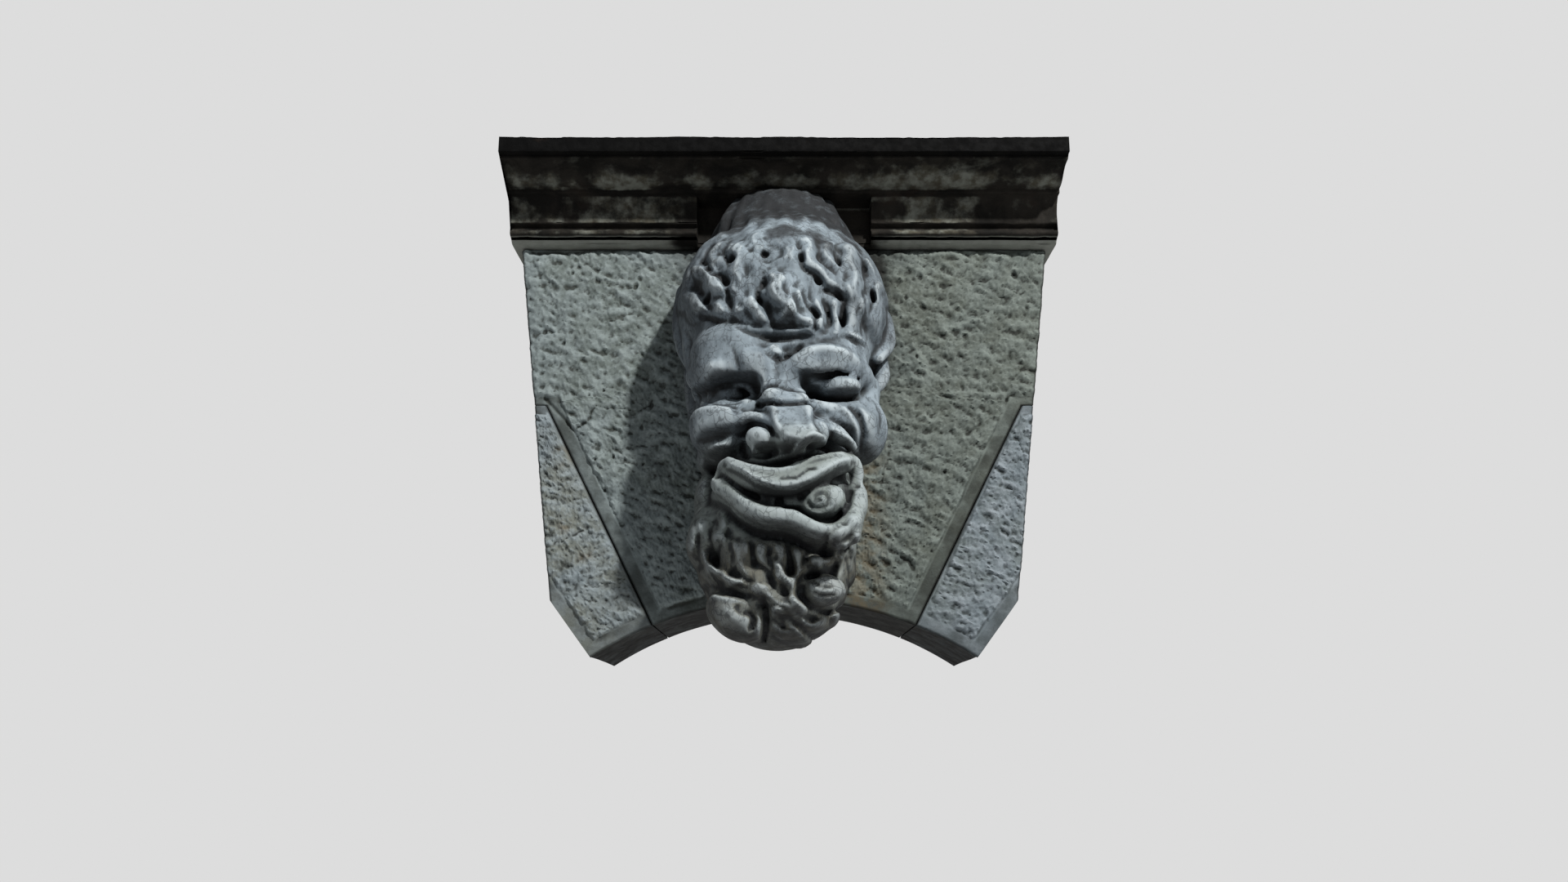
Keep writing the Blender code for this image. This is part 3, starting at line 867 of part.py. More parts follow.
def largest_piece(solid):
    """Drops any loose crumb that the carving left."""
    made = bmesh.new()
    made.from_mesh(solid.data)
    unseen = set(made.verts)
    pieces = []
    while unseen:
        piece = {unseen.pop()}
        reached = list(piece)
        while reached:
            vert = reached.pop()
            near = {edge.other_vert(vert) for edge in vert.link_edges} - piece
            piece |= near
            reached += near
        unseen -= piece
        pieces.append(piece)
    keep = max(pieces, key=len)
    bmesh.ops.delete(made, geom=[v for v in made.verts if v not in keep], context="VERTS")
    made.to_mesh(solid.data)
    made.free()


def build_keystone():
    points, quads = carve_head()
    head = facing_out(mesh_object("mask_keystone", place(points), quads))
    largest_piece(head)
    fewer = head.modifiers.new("fewer", "DECIMATE")
    fewer.ratio = KEEP_SHARE
    outline = arch_points(-KEY_HALF_BOTTOM, KEY_HALF_BOTTOM)
    outline += [(KEY_HALF_TOP, WALL_TOP_Z), (-KEY_HALF_TOP, WALL_TOP_Z)]
    tail = prism("cut_tail", outline, 0.0, WALL_FACE + TAIL_REACH)
    join(head, tail, "UNION")
    return head


# Materials
def finish(solid, colour, roughness):
    material = bpy.data.materials.new("stone_" + solid.name)
    material.use_nodes = True
    shader = material.node_tree.nodes["Principled BSDF"]
    shader.inputs["Base Color"].default_value = (*colour, 1.0)
    shader.inputs["Roughness"].default_value = roughness
    shader.inputs["Metallic"].default_value = 0.0
    solid.data.materials.clear()
    solid.data.materials.append(material)


def build():
    for old in list(bpy.data.objects):
        bpy.data.objects.remove(old)
    head = build_keystone()
    for polygon in head.data.polygons:
        polygon.use_smooth = True
    finish(head, (0.24, 0.27, 0.29), 0.60)
    finish(stone("haunch_left", haunch_outline(), haunch_panel(), -1), (0.16, 0.19, 0.19), 0.85)
    finish(stone("haunch_right", haunch_outline(), haunch_panel(), 1), (0.19, 0.22, 0.20), 0.85)
    finish(stone("voussoir_left", voussoir_outline(), voussoir_panel(), -1), (0.21, 0.25, 0.27), 0.85)
    finish(stone("voussoir_right", voussoir_outline(), voussoir_panel(), 1), (0.22, 0.26, 0.29), 0.85)
    finish(build_cornice(), (0.045, 0.045, 0.040), 0.90)


build()
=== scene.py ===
# Looks for the marble mask on its keystone, the stones beside it and the cornice over it.
# Metres, +Z up, front towards -Y, in the same frame as the solids.
# The head is modelled as clay in its own units: a across, b up, c out from the wall.

import itertools
import math

import bpy
import mathutils
import numpy as np
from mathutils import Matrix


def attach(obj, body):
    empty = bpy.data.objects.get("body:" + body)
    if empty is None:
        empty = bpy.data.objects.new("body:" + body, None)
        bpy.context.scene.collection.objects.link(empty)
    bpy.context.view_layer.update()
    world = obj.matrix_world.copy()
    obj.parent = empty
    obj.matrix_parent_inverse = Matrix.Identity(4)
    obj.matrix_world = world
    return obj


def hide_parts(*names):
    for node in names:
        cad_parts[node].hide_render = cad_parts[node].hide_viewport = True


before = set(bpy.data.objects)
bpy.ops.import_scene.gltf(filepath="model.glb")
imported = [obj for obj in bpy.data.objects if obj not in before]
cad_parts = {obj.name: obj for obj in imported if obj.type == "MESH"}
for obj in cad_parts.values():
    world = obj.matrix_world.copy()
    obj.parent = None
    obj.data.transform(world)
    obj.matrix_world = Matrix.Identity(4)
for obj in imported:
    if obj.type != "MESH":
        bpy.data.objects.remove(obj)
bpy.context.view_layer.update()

# Sizes of the arch and of the wall, as in the solids
ARCH_RADIUS = 0.450
ARCH_CENTRE_Z = -0.658
WALL_DEPTH = 0.200
BOSS_HEIGHT = 0.010
WALL_FACE = WALL_DEPTH + BOSS_HEIGHT
WALL_TOP_Z = 0.279
WALL_HALF_TOP = 0.366
SIDE_TAPER = 0.134
GAP = 0.0006

# Joints between the stones
KEY_HALF_BOTTOM = 0.060
KEY_HALF_TOP = 0.090
JOINT_HALF_BOTTOM = 0.168
BED_JOINT_LENGTH = 0.016
BED_JOINT_Z = 0.052
FOOT_HALF = 0.245
BED_OUTER_Z = -0.208
ARCH_MARGIN = 0.017
JOINT_MARGIN = 0.021
VOUSSOIR_MARGIN = 0.004
BED_MARGIN = 0.012
TOP_MARGIN = 0.003

# Cornice
CORNICE_HEIGHT = 0.111
CORNICE_HALF = 0.377
CROWN_OUT = 0.104
FILLET_OUT = 0.094
CYMA_OUT = 0.088
EDGE_OUT = 0.042
COVE_TOP_OUT = 0.035
COVE_FOOT_OUT = 0.020
BEAD_OUT = 0.022
GROOVE_OUT = 0.012
FOOT_OUT = 0.006
CROWN_DROP = 0.024
FILLET_DROP = 0.029
EDGE_DROP = 0.045
SOFFIT_DROP = 0.051
COVE_DROP = 0.085
GROOVE_DROP = 0.092
BEAD_DROP = 0.105
NOTCH_HALF = 0.120

# The head
MASK_HEIGHT = 0.610
CLAY_HEIGHT = 100
UNIT = MASK_HEIGHT / CLAY_HEIGHT
MASK_FOOT_Z = -0.276
CLAY_STEP = 0.45
CLAY_LOW = (-27, -4, -2)
CLAY_HIGH = (26, 106, 46)
FAR = 30.0
LEAST_RADIUS = 0.05
LOCK_LEAN = 0.8
LOCK_FADE = 2.0
GROOVE_FADE = 3.0
STRAND_DEPTH = 0.28
STRAND_WIDTH = 0.6
SOFTENED = 0.35
NEAR_REACH = 1.0
WIDE_REACH = 2.6
TIP_WEAR = 0.25
TIP_FROM = 34
TIP_FULL = 40
KEPT_EDGE = 0.5
TAIL_REACH = 0.030

# Fineness of the surfaces
HAUNCH_GRID = (201, 271)
VOUSSOIR_GRID = (101, 201)
SIDE_RINGS = (0.96, 0.72, 0.36)
THIN_OUT = 5
ARCH_POINTS = 25
CURVE_STEPS = 12
PROFILE_SPACING = 0.0024
SHELF_SPACING = 0.012
BACK_SPACING = 0.02
CORNICE_COLUMNS = 341
CYMA_SWING = 0.8
CYMA_STEP = 0.002
SHARP_ANGLE = math.radians(55)

# Depths of the pecked work, from coarse to fine, and of the wear on the stones
LUMP_DEPTH = 0.0028
CREST_DEPTH = 0.0011
BOWL_DEPTH = 0.0010
SWELL_DEPTH = 0.0018
GRAIN_DEPTH = 0.0003
RIM_DROP = 0.0030
MARGIN_WAVE = 0.0004
EDGE_CHIP = 0.0022
EDGE_ROUND = 0.0010
SIDE_WEAR = 0.0007
SIDE_GRAIN = 0.0004
BACK_WEAR = 0.0015
CRACK_SHARE = 0.7
CRACK_WANDER = 0.003
PIT_SHARE = 0.75
HAUNCH_LUMPS = (0.023, 0.014)
HAUNCH_PITS = 0.004
VOUSSOIR_LUMPS = (0.021, 0.012)
VOUSSOIR_PITS = 0.003
# Reach and scale of the hollow mark, which lays painted shade in hollows and painted highlight on crests
HOLLOW_SHADE_REACH = 4
HOLLOW_SHADE_DEPTH = 0.0046
CORNICE_WEAR = 0.0008
CORNICE_GRAIN = 0.0004
ARRIS_WEAR = 0.0010
BITE_DEPTH = 0.0040
NOTCH_EDGE = 0.0004

# Dark spots on the crown of the head: a, b, c, radius
CROWN_SPOTS = [(-12.0, 84.5, 20, 4.0), (-0.4, 81.0, 28, 4.2), (7.2, 78.6, 28, 4.0), (13.2, 81.5, 20.5, 3.2)]

# Stage
FLOOR_Z = -2.2
FLOOR_HALF = 6.0
BACKGROUND = (0.723, 0.723, 0.723, 1.0)
LEFT_GLOW = (0.22, 0.23, 0.24, 1.0)
RIGHT_GLOW = (0.40, 0.41, 0.42, 1.0)
FLOOR_TONE = (0.60, 0.60, 0.60, 1.0)
LOW_GLOW = (0.11, 0.11, 0.11, 1.0)
KEY_PLACE = (1.14, -2.3, 1.75)
KEY_SIZE = 0.12
KEY_POWER = 108.0
KEY_TONE = (1.0, 0.99, 0.97)
SENSOR = 36.0
LENS = 24.45
CAMERA_PLACE = (0.0, -1.5703, -0.3645)
CAMERA_TILT = 15.0


# The eight corners of a cell
CORNERS = list(itertools.product((0, 1), repeat=3))


# Random fields
TABLE_SIZE = 32
TABLES = np.random.default_rng(7).random((8, TABLE_SIZE, TABLE_SIZE, TABLE_SIZE)) * 2 - 1


def noise(points, size, seed=0):
    """Smooth random values from -1 to 1 that change over that size."""
    spot = points / size + 3.7 * seed + 0.5
    cell = np.floor(spot).astype(int)
    part = spot - cell
    part = part * part * (3 - 2 * part)
    table = TABLES[seed % len(TABLES)]
    total = np.zeros(len(points))
    for corner in CORNERS:
        weight = np.prod(np.where(corner, part, 1 - part), axis=1)
        i, j, k = ((cell + corner) % TABLE_SIZE).T
        total += weight * table[i, j, k]
    return total


def rough(points, size, seed=0, layers=4, fade=0.55):
    """Noise over noise, each layer half the size of the last, from about -1 to 1."""
    total = np.zeros(len(points))
    for layer in range(layers):
        total += fade ** layer * noise(points, size / 2 ** layer, seed + layer)
    return total


def ridges(points, size, seed=0, layers=3):
    """Sharp crests with round hollows between them, from 0 at a crest to 1."""
    total = np.zeros(len(points))
    for layer in range(layers):
        total += 0.5 ** layer * np.abs(noise(points, size / 2 ** layer, seed + layer))
    return np.minimum(total * 1.3, 1)


def dents(points, size, seed=0):
    """Distance to the nearest of a set of scattered spots, 0 at a spot and about 1 between them."""
    spot = points[:, :2] / size
    cell = np.floor(spot).astype(int)
    best = np.full(len(points), 9.0)
    across, up = TABLES[seed % len(TABLES), 0], TABLES[seed % len(TABLES), 1]
    for step in itertools.product((-1, 0, 1), repeat=2):
        near = cell + step
        i, j = (near % TABLE_SIZE).T
        gap_a = near[:, 0] + 0.5 + 0.45 * across[i, j] - spot[:, 0]
        gap_b = near[:, 1] + 0.5 + 0.45 * up[i, j] - spot[:, 1]
        best = np.minimum(best, gap_a ** 2 + gap_b ** 2)
    return np.sqrt(best)


def ease(value, start, end):
    """Smooth rise from 0 at start to 1 at end."""
    share = np.clip((value - start) / (end - start), 0, 1)
    return share * share * (3 - 2 * share)


def cos_sin(degrees):
    return math.cos(math.radians(degrees)), math.sin(math.radians(degrees))


def line_distance(x, z, path):
    """Distance in the plane from each place to a line of points."""
    best = np.full(x.shape, 9.0)
    for (x0, z0), (x1, z1) in zip(path[:-1], path[1:]):
        dx, dz = x1 - x0, z1 - z0
        share = np.clip(((x - x0) * dx + (z - z0) * dz) / (dx * dx + dz * dz), 0, 1)
        best = np.minimum(best, np.hypot(x - x0 - share * dx, z - z0 - share * dz))
    return best


def blurred(grid, reach):
    """A grid of values with each one averaged over its neighbours, along every axis."""
    for axis in range(grid.ndim):
        pad = [(0, 0)] * grid.ndim
        pad[axis] = (reach + 1, reach)
        total = np.cumsum(np.pad(grid, pad, mode="edge"), axis=axis, dtype=np.float32)
        far = np.take(total, np.arange(2 * reach + 1, total.shape[axis]), axis=axis)
        near = np.take(total, np.arange(0, total.shape[axis] - 2 * reach - 1), axis=axis)
        grid = (far - near) / (2 * reach + 1)
    return grid


# Meshes
def make_piece(name, points, faces, marks):
    """A mesh from points and faces, with values painted on its points by name."""
    mesh = bpy.data.meshes.new(name)
    sizes = np.array([len(face) for face in faces])
    loops = np.fromiter(itertools.chain.from_iterable(faces), np.int32, sizes.sum())
    mesh.vertices.add(len(points))
    mesh.vertices.foreach_set("co", np.asarray(points, np.float32).ravel())
    mesh.loops.add(len(loops))
    mesh.loops.foreach_set("vertex_index", loops)
    mesh.polygons.add(len(sizes))
    mesh.polygons.foreach_set("loop_start", (np.cumsum(sizes) - sizes).astype(np.int32))
    mesh.update(calc_edges=True)
    for mark, values in marks.items():
        layer = mesh.attributes.new(mark, "FLOAT", "POINT")
        layer.data.foreach_set("value", np.asarray(values, np.float32))
    mesh.shade_smooth()
    piece = bpy.data.objects.new(name, mesh)
    bpy.context.collection.objects.link(piece)
    return piece


def grid_faces(rows, columns, first=0, flip=False):
    """Quads over a grid of points numbered row by row."""
    index = first + np.arange(rows * columns).reshape(rows, columns)
    corners = [index[:-1, :-1], index[:-1, 1:], index[1:, 1:], index[1:, :-1]]
    if flip:
        corners.reverse()
    return np.stack([corner.ravel() for corner in corners], axis=1).tolist()


# Clay tools
def unit_rows(rows):
    return rows / np.maximum(np.linalg.norm(rows, axis=1), 1e-6)[:, None]


def sideways(path):
    """Unit steps to the left of the way a path in the plane runs."""
    way = unit_rows(np.gradient(path, axis=0))
    return np.column_stack([-way[:, 1], way[:, 0]])


def smooth_path(points, radii, per_span=4):
    """A smooth curve through the points, with the radii carried along it."""
    rows = np.column_stack([np.array(points, float), np.array(radii, float)])
    ends = np.vstack([2 * rows[0] - rows[1], rows, 2 * rows[-1] - rows[-2]])
    made = []
    for i in range(len(rows) - 1):
        p0, p1, p2, p3 = ends[i:i + 4]
        for t in np.arange(per_span) / per_span:
            slope = (p2 - p0) * t
            bend = (2 * p0 - 5 * p1 + 4 * p2 - p3) * t ** 2
            turn = (3 * p1 - 3 * p2 + p3 - p0) * t ** 3
            made.append(p1 + 0.5 * (slope + bend + turn))
    made.append(rows[-1])
    made = np.array(made)
    return made[:, :3], np.maximum(made[:, 3], LEAST_RADIUS)


def flat_path(points):
    """The same in the plane of the wall alone."""
    return smooth_path([(a, b, 0) for a, b in points], np.zeros(len(points)))[0][:, :2]


def ball(centre, radii, turn=0.0):
    """An ellipsoid, turned by so many degrees in the plane of the wall."""
    centre = np.array(centre, float)
    radii = np.broadcast_to(np.array(radii, float), 3)
    cos, sin = cos_sin(turn)
    reach_a = math.hypot(radii[0] * cos, radii[1] * sin)
    reach_b = math.hypot(radii[0] * sin, radii[1] * cos)
    reach = np.array([reach_a, reach_b, radii[2]])

    def distance(a, b, c):
        a, b, c = a - centre[0], b - centre[1], c - centre[2]
        u = (a * cos + b * sin) / radii[0]
        v = (b * cos - a * sin) / radii[1]
        w = c / radii[2]
        size = np.sqrt(u ** 2 + v ** 2 + w ** 2)
        steep = np.sqrt((u / radii[0]) ** 2 + (v / radii[1]) ** 2 + (w / radii[2]) ** 2)
        return size * (size - 1) / np.maximum(steep, 1e-6)

    return centre - reach, centre + reach, distance


def roll(points, radii, flat=1.0):
    """A round roll along a smooth curve, flat times as thick out of the wall as across."""
    radii = np.broadcast_to(np.array(radii, float), len(points))
    path, thick = smooth_path(points, radii)

    def distance(a, b, c):
        best = FAR
        for p, q, r, s in zip(path[:-1], path[1:], thick[:-1], thick[1:]):
            d = (q - p) / (1, 1, flat)
            u, v, w = a - p[0], b - p[1], (c - p[2]) / flat
            t = np.clip((u * d[0] + v * d[1] + w * d[2]) / max(d @ d, 1e-9), 0, 1)
            gap = np.sqrt((u - t * d[0]) ** 2 + (v - t * d[1]) ** 2 + (w - t * d[2]) ** 2)
            best = np.minimum(best, gap - r - (s - r) * t)
        return best

    reach = thick.max() * np.array([1, 1, max(flat, 1)])
    return path.min(0) - reach, path.max(0) + reach, distance


def wavy(points, swing=0.45, length=6.0):
    """A curve through the points that also swings from side to side."""
    path = flat_path(points)[::2]
    run = np.append(0, np.cumsum(np.linalg.norm(np.diff(path, axis=0), axis=1)))
    phase = points[0][0] + points[0][1]
    swings = swing * np.sin(2 * math.pi * run / length + phase)
    return path + swings[:, None] * sideways(path)


def block(centre, half, turn=0.0, lean=0.0, soft=0.6):
    """A block with rounded edges, turned in the plane of the wall, then leant back by degrees."""
    centre = np.array(centre, float)
    half = np.array(half, float)
    cos, sin = cos_sin(turn)
    level, rise = cos_sin(lean)
    reach = np.full(3, np.linalg.norm(half))

    def distance(a, b, c):
        a, b, c = a - centre[0], b - centre[1], c - centre[2]
        b, c = b * level - c * rise, c * level + b * rise
        out = [np.abs(a * cos + b * sin), np.abs(b * cos - a * sin), np.abs(c)]
        out = [o - h + soft for o, h in zip(out, half)]
        far = np.sqrt(sum(np.maximum(o, 0) ** 2 for o in out))
        return far + np.minimum(np.maximum(np.maximum(out[0], out[1]), out[2]), 0) - soft

    return centre - reach, centre + reach, distance


class Clay:
    """A block kept as a grid of values: stone where the value is below zero."""

    def __init__(self, low, high, step):
        self.step = step
        self.low = np.array(low, float)
        self.count = np.ceil((np.array(high) - self.low) / step).astype(int) + 1
        self.value = np.full(self.count, FAR, np.float32)

    def near(self, shape, margin):
        """The part of the grid round a shape, and the shape's distance at its points."""
        low, high, distance = shape
        first = np.floor((low - margin - self.low) / self.step).astype(int)
        last = np.ceil((high + margin - self.low) / self.step).astype(int) + 1
        first = np.clip(first, 0, self.count - 1)
        last = np.clip(last, 1, self.count)
        where = tuple(slice(f, e) for f, e in zip(first, last))
        lines = [self.low[i] + self.step * np.arange(first[i], last[i]) for i in range(3)]
        a, b, c = np.ix_(*[line.astype(np.float32) for line in lines])
        return where, distance(a, b, c).astype(np.float32)

    def add(self, shape, blend):
        """Joins a shape on, with a soft seam of about that width."""
        where, new = self.near(shape, blend + 4)
        old = self.value[where]
        share = np.clip(0.5 + 0.5 * (new - old) / blend, 0, 1)
        self.value[where] = new * (1 - share) + old * share - blend * share * (1 - share)

    def cut(self, shape, blend):
        """Takes a shape away, with a soft edge of about that width."""
        where, new = self.near(shape, blend + 1)
        old = self.value[where]
        share = np.clip(0.5 - 0.5 * (old + new) / blend, 0, 1)
        self.value[where] = old * (1 - share) - new * share + blend * share * (1 - share)

    def ridge(self, points, height, width, other=None, shape="round", fade=0.0):
        """Raises the front along a smooth curve, or sinks it where the height is below zero.

        The width is to each side, or to the left of the way the curve runs, and other to the
        right. The section is round, plump, sharp or flat, and fades over a length at its ends."""
        other = other or width
        reach = max(width, other)
        path = flat_path(points)
        first = np.floor((path.min(0) - reach - self.low[:2]) / self.step).astype(int)
        last = np.ceil((path.max(0) + reach - self.low[:2]) / self.step).astype(int) + 1
        first, last = np.clip(first, 0, self.count[:2]), np.clip(last, 0, self.count[:2])
        a, b = np.ix_(*[self.low[i] + self.step * np.arange(first[i], last[i]) for i in (0, 1)])
        best = np.full((a.size, b.size), FAR)
        share = np.full(best.shape, FAR)
        place = np.zeros(best.shape)
        start = 0.0
        for p, q in zip(path[:-1], path[1:]):
            d = q - p
            t = np.clip(((a - p[0]) * d[0] + (b - p[1]) * d[1]) / max(d @ d, 1e-9), 0, 1)
            gap = np.hypot(a - p[0] - t * d[0], b - p[1] - t * d[1])
            is_left = d[0] * (b - p[1]) - d[1] * (a - p[0]) > 0
            nearer = gap < best
            best = np.where(nearer, gap, best)
            share = np.where(nearer, gap / np.where(is_left, width, other), share)
            place = np.where(nearer, start + t * math.hypot(*d), place)
            start += math.hypot(*d)
        inside = np.clip(1 - share, 0, 1)
        if shape == "flat":
            inside = 1 - (1 - inside) ** 4
        elif shape == "sharp":
            inside = inside ** 1.6
        elif shape == "plump":
            inside = inside * (2 - inside)
        else:
            inside = inside ** 2 * (3 - 2 * inside)
        if fade:
            to_end = np.clip(np.minimum(place, start - place) / fade, 0, 1)
            inside = inside * (0.15 + 0.85 * to_end ** 0.8)
        rise = (height * inside).astype(np.float32)
        self.value[first[0]:last[0], first[1]:last[1]] -= rise[:, :, None]

    def groove(self, points, depth, width, fade=0.0):
        """A sharp line cut in, unless it is finer than the grid can show."""
        if width > 0.9 * self.step:
            self.ridge(points, -depth, width, shape="sharp", fade=fade)

    def lock(self, points, height, width, strands=(-0.7, 0.6)):
        """A wavy lock of hair, with fine strands cut along it."""
        path = wavy(points)
        self.ridge(path, height, width, LOCK_LEAN * width, "plump", LOCK_FADE)
        across = sideways(path)
        for offset in strands:
            self.groove(path + offset * across, STRAND_DEPTH, STRAND_WIDTH, LOCK_FADE)

    def trim(self, axis, at, side):
        """A flat face at that place on the axis; side is 1 to lose what is beyond it, -1 before it."""
        line = self.low[axis] + self.step * np.arange(self.count[axis])
        shape = [1, 1, 1]
        shape[axis] = -1
        plane = (side * (line - at)).reshape(shape).astype(np.float32)
        self.value = np.maximum(self.value, plane)

    def settle(self):
        """Fills the spots where two skins would touch in one cell, so the surface is a clean one."""
        fill = np.float32(-0.1 * self.step)
        while True:
            inside = self.value < 0
            touching = np.zeros(inside.shape, bool)
            for axis in range(3):
                second, third = (axis + 1) % 3, (axis + 2) % 3
                square = []
                for along_second, along_third in ((0, 0), (1, 0), (1, 1), (0, 1)):
                    part = [slice(None)] * 3
                    part[second] = slice(along_second, inside.shape[second] - 1 + along_second)
                    part[third] = slice(along_third, inside.shape[third] - 1 + along_third)
                    square.append(tuple(part))
                w, x, y, z = [inside[part] for part in square]
                crossed = (w == y) & (x == z) & (w != x)
                for part in square:
                    touching[part] |= crossed
            room = np.array(inside.shape) - 1
            views = [tuple(slice(n, r + n) for n, r in zip(corner, room)) for corner in CORNERS]
            count = sum(inside[view].astype(np.int8) for view in views)
            for near, far in zip(views[:4], views[:3:-1]):
                across = inside[near] == inside[far]
                pair = across & (((count == 2) & inside[near]) | ((count == 6) & ~inside[near]))
                for view in views:
                    touching[view] |= pair
            touching &= ~inside
            if not touching.any():
                return
            self.value[touching] = fill

    def skin(self):
        """The surface as points and quads: one point in each cell that the surface crosses."""
        self.settle()
        value, inside = self.value, self.value < 0
        room = np.array(value.shape) - 1
        some = np.zeros(room, bool)
        every = np.ones(room, bool)
        for i, j, k in CORNERS:
            part = inside[i:room[0] + i, j:room[1] + j, k:room[2] + k]
            some |= part
            every &= part
        cells = np.argwhere(some & ~every)
        index = np.full(room, -1)
        index[tuple(cells.T)] = np.arange(len(cells))
        at = {corner: value[tuple((cells + corner).T)].astype(float) for corner in CORNERS}
        total = np.zeros((len(cells), 3))
        hits = np.zeros(len(cells))
        for start in CORNERS:
            for axis in range(3):
                if start[axis]:
                    continue
                end = tuple(x + (n == axis) for n, x in enumerate(start))
                crosses = (at[start] < 0) != (at[end] < 0)
                fall = np.where(crosses, at[start] - at[end], 1)
                spot = np.repeat(np.array([start], float), len(cells), 0)
                spot[:, axis] = np.where(crosses, at[start] / fall, 0)
                total[crosses] += spot[crosses]
                hits += crosses
        points = self.low + self.step * (cells + total / hits[:, None])
        return points, np.vstack([self.quads_across(inside, index, axis) for axis in range(3)])

    def quads_across(self, inside, index, axis):
        """One quad round each grid edge along the axis that goes in or out of the stone."""
        second, third = (axis + 1) % 3, (axis + 2) % 3
        here = [slice(1, -1)] * 3
        here[axis] = slice(0, -1)
        there = list(here)
        there[axis] = slice(1, None)
        leaves = inside[tuple(there)]
        edges = np.argwhere(inside[tuple(here)] != leaves)
        flips = leaves[tuple(edges.T)]
        edges[:, second] += 1
        edges[:, third] += 1
        ring = []
        for back_second, back_third in ((0, 0), (1, 0), (1, 1), (0, 1)):
            cell = edges.copy()
            cell[:, second] -= back_second
            cell[:, third] -= back_third
            ring.append(index[tuple(cell.T)])
        ring = np.array(ring).T
        ring[flips] = ring[flips][:, ::-1]
        return ring


# The carving of the head
def hair_depth(a, b):
    """How far out the smooth cap of the hair stands at (a, b)."""
    inside = 1 - ((a + 0.3) / 22.5) ** 2 - ((b - 69) / 21.5) ** 2
    return 6 + 26.5 * math.sqrt(max(inside, 0.02))


def carve_masses(clay):
    clay.add(ball((-0.3, 69, 6), (22.5, 21.5, 26.5)), 1)
    clay.add(ball((-10, 76, 4), (11.5, 13, 18)), 5)
    clay.add(ball((9.5, 76, 4), (11.5, 13, 18)), 5)
    clay.add(ball((-0.5, 84, 0), (18, 20, 15)), 3)
    clay.add(ball((-0.8, 47, 4), (18.4, 19, 27.5)), 5)
    clay.add(ball((0.3, 29, 6), (14.4, 12, 27)), 5)
    clay.add(ball((-2, 19, 4), (16, 16, 25)), 5)
    clay.add(ball((-1.2, 10, 8), (12.2, 10, 19)), 4)
    clay.add(ball((-14.6, 21, 13), (4.2, 7, 10), 6), 2)
    clay.add(ball((-15.4, 30, 11), (2.9, 5.2, 7), -4), 1.5)
    clay.add(ball((-14.8, 37.6, 13), (3, 3, 7)), 1.5)


def carve_brows(clay):
    clay.add(ball((-8.5, 57.3, 20), (10.5, 6.5, 11.5)), 3)
    clay.add(ball((6.5, 57.3, 20), (10.5, 6, 11.5)), 3)
    clay.add(roll([(-16.4, 53.2, 20), (-12.6, 53, 26.2), (-8.6, 53.2, 29), (-4.6, 52.4, 31)],
                  [3.4, 4.2, 3.6, 2.4]), 1.6)
    clay.add(roll([(-6.8, 53.6, 29.6), (-4.8, 51.8, 31), (-3.9, 49.2, 31.2), (-3.2, 46.6, 31)],
                  [2.6, 2.5, 2.1, 1.6]), 1.2)
    clay.add(roll([(0.9, 50.8, 30.5), (4.4, 52.2, 31), (9.2, 53.2, 29.2), (14, 52.7, 23.6),
                   (16.6, 51.2, 18)],
                  [2.3, 3.2, 3.5, 3.2, 2.4]), 1.6)
    clay.add(roll([(-1.8, 53.6, 31), (-1.6, 50.5, 31), (-1.4, 47.6, 31.2)], [2, 1.8, 1.5]), 1.4)
    clay.ridge([(-15.6, 51.6), (-13, 51.2), (-10.8, 51.4)], 0.9, 2.4, fade=1.5)
    clay.groove([(-9.9, 56), (-9.2, 53.6), (-8.6, 51.4), (-8.2, 49.8)], 0.9, 1.7, 2.5)
    clay.ridge([(3.2, 53.4), (7.2, 54.6), (11.7, 54.4), (14.8, 53.2)], 0.7, 1.8, fade=2.0)
    clay.groove([(3.6, 57), (2.8, 55.2), (2, 53.4)], 0.7, 1.5, 1.5)
    clay.ridge([(-3.4, 55.6), (-0.2, 56.4), (2.6, 56.4)], 0.5, 1.6, fade=1.5)
    clay.groove([(-3.8, 54.6), (-2, 53), (-0.2, 52.9), (1.8, 54.2)], 0.9, 1.1, 1.5)
    clay.groove([(-1.3, 53.6), (-1.2, 50.6), (-1.2, 47.8)], 1.3, 1.6, 1.5)
    clay.ridge([(-9.4, 61.4), (-6.4, 59.8), (-3, 58.9), (1, 58.7), (5.4, 58.7)], 0.6, 1.2, fade=2.0)
    clay.groove([(-9.8, 60.2), (-6.6, 58.4), (-3, 57.5), (0.8, 57.4), (4.6, 57.6)], 0.8, 0.9, 3)
    clay.groove([(-11.2, 62.4), (-8.4, 60.8), (-5.2, 59.8), (-1.4, 59.6), (3.4, 59.2),
                 (7.6, 58.2)], 0.7, 0.8, 3)


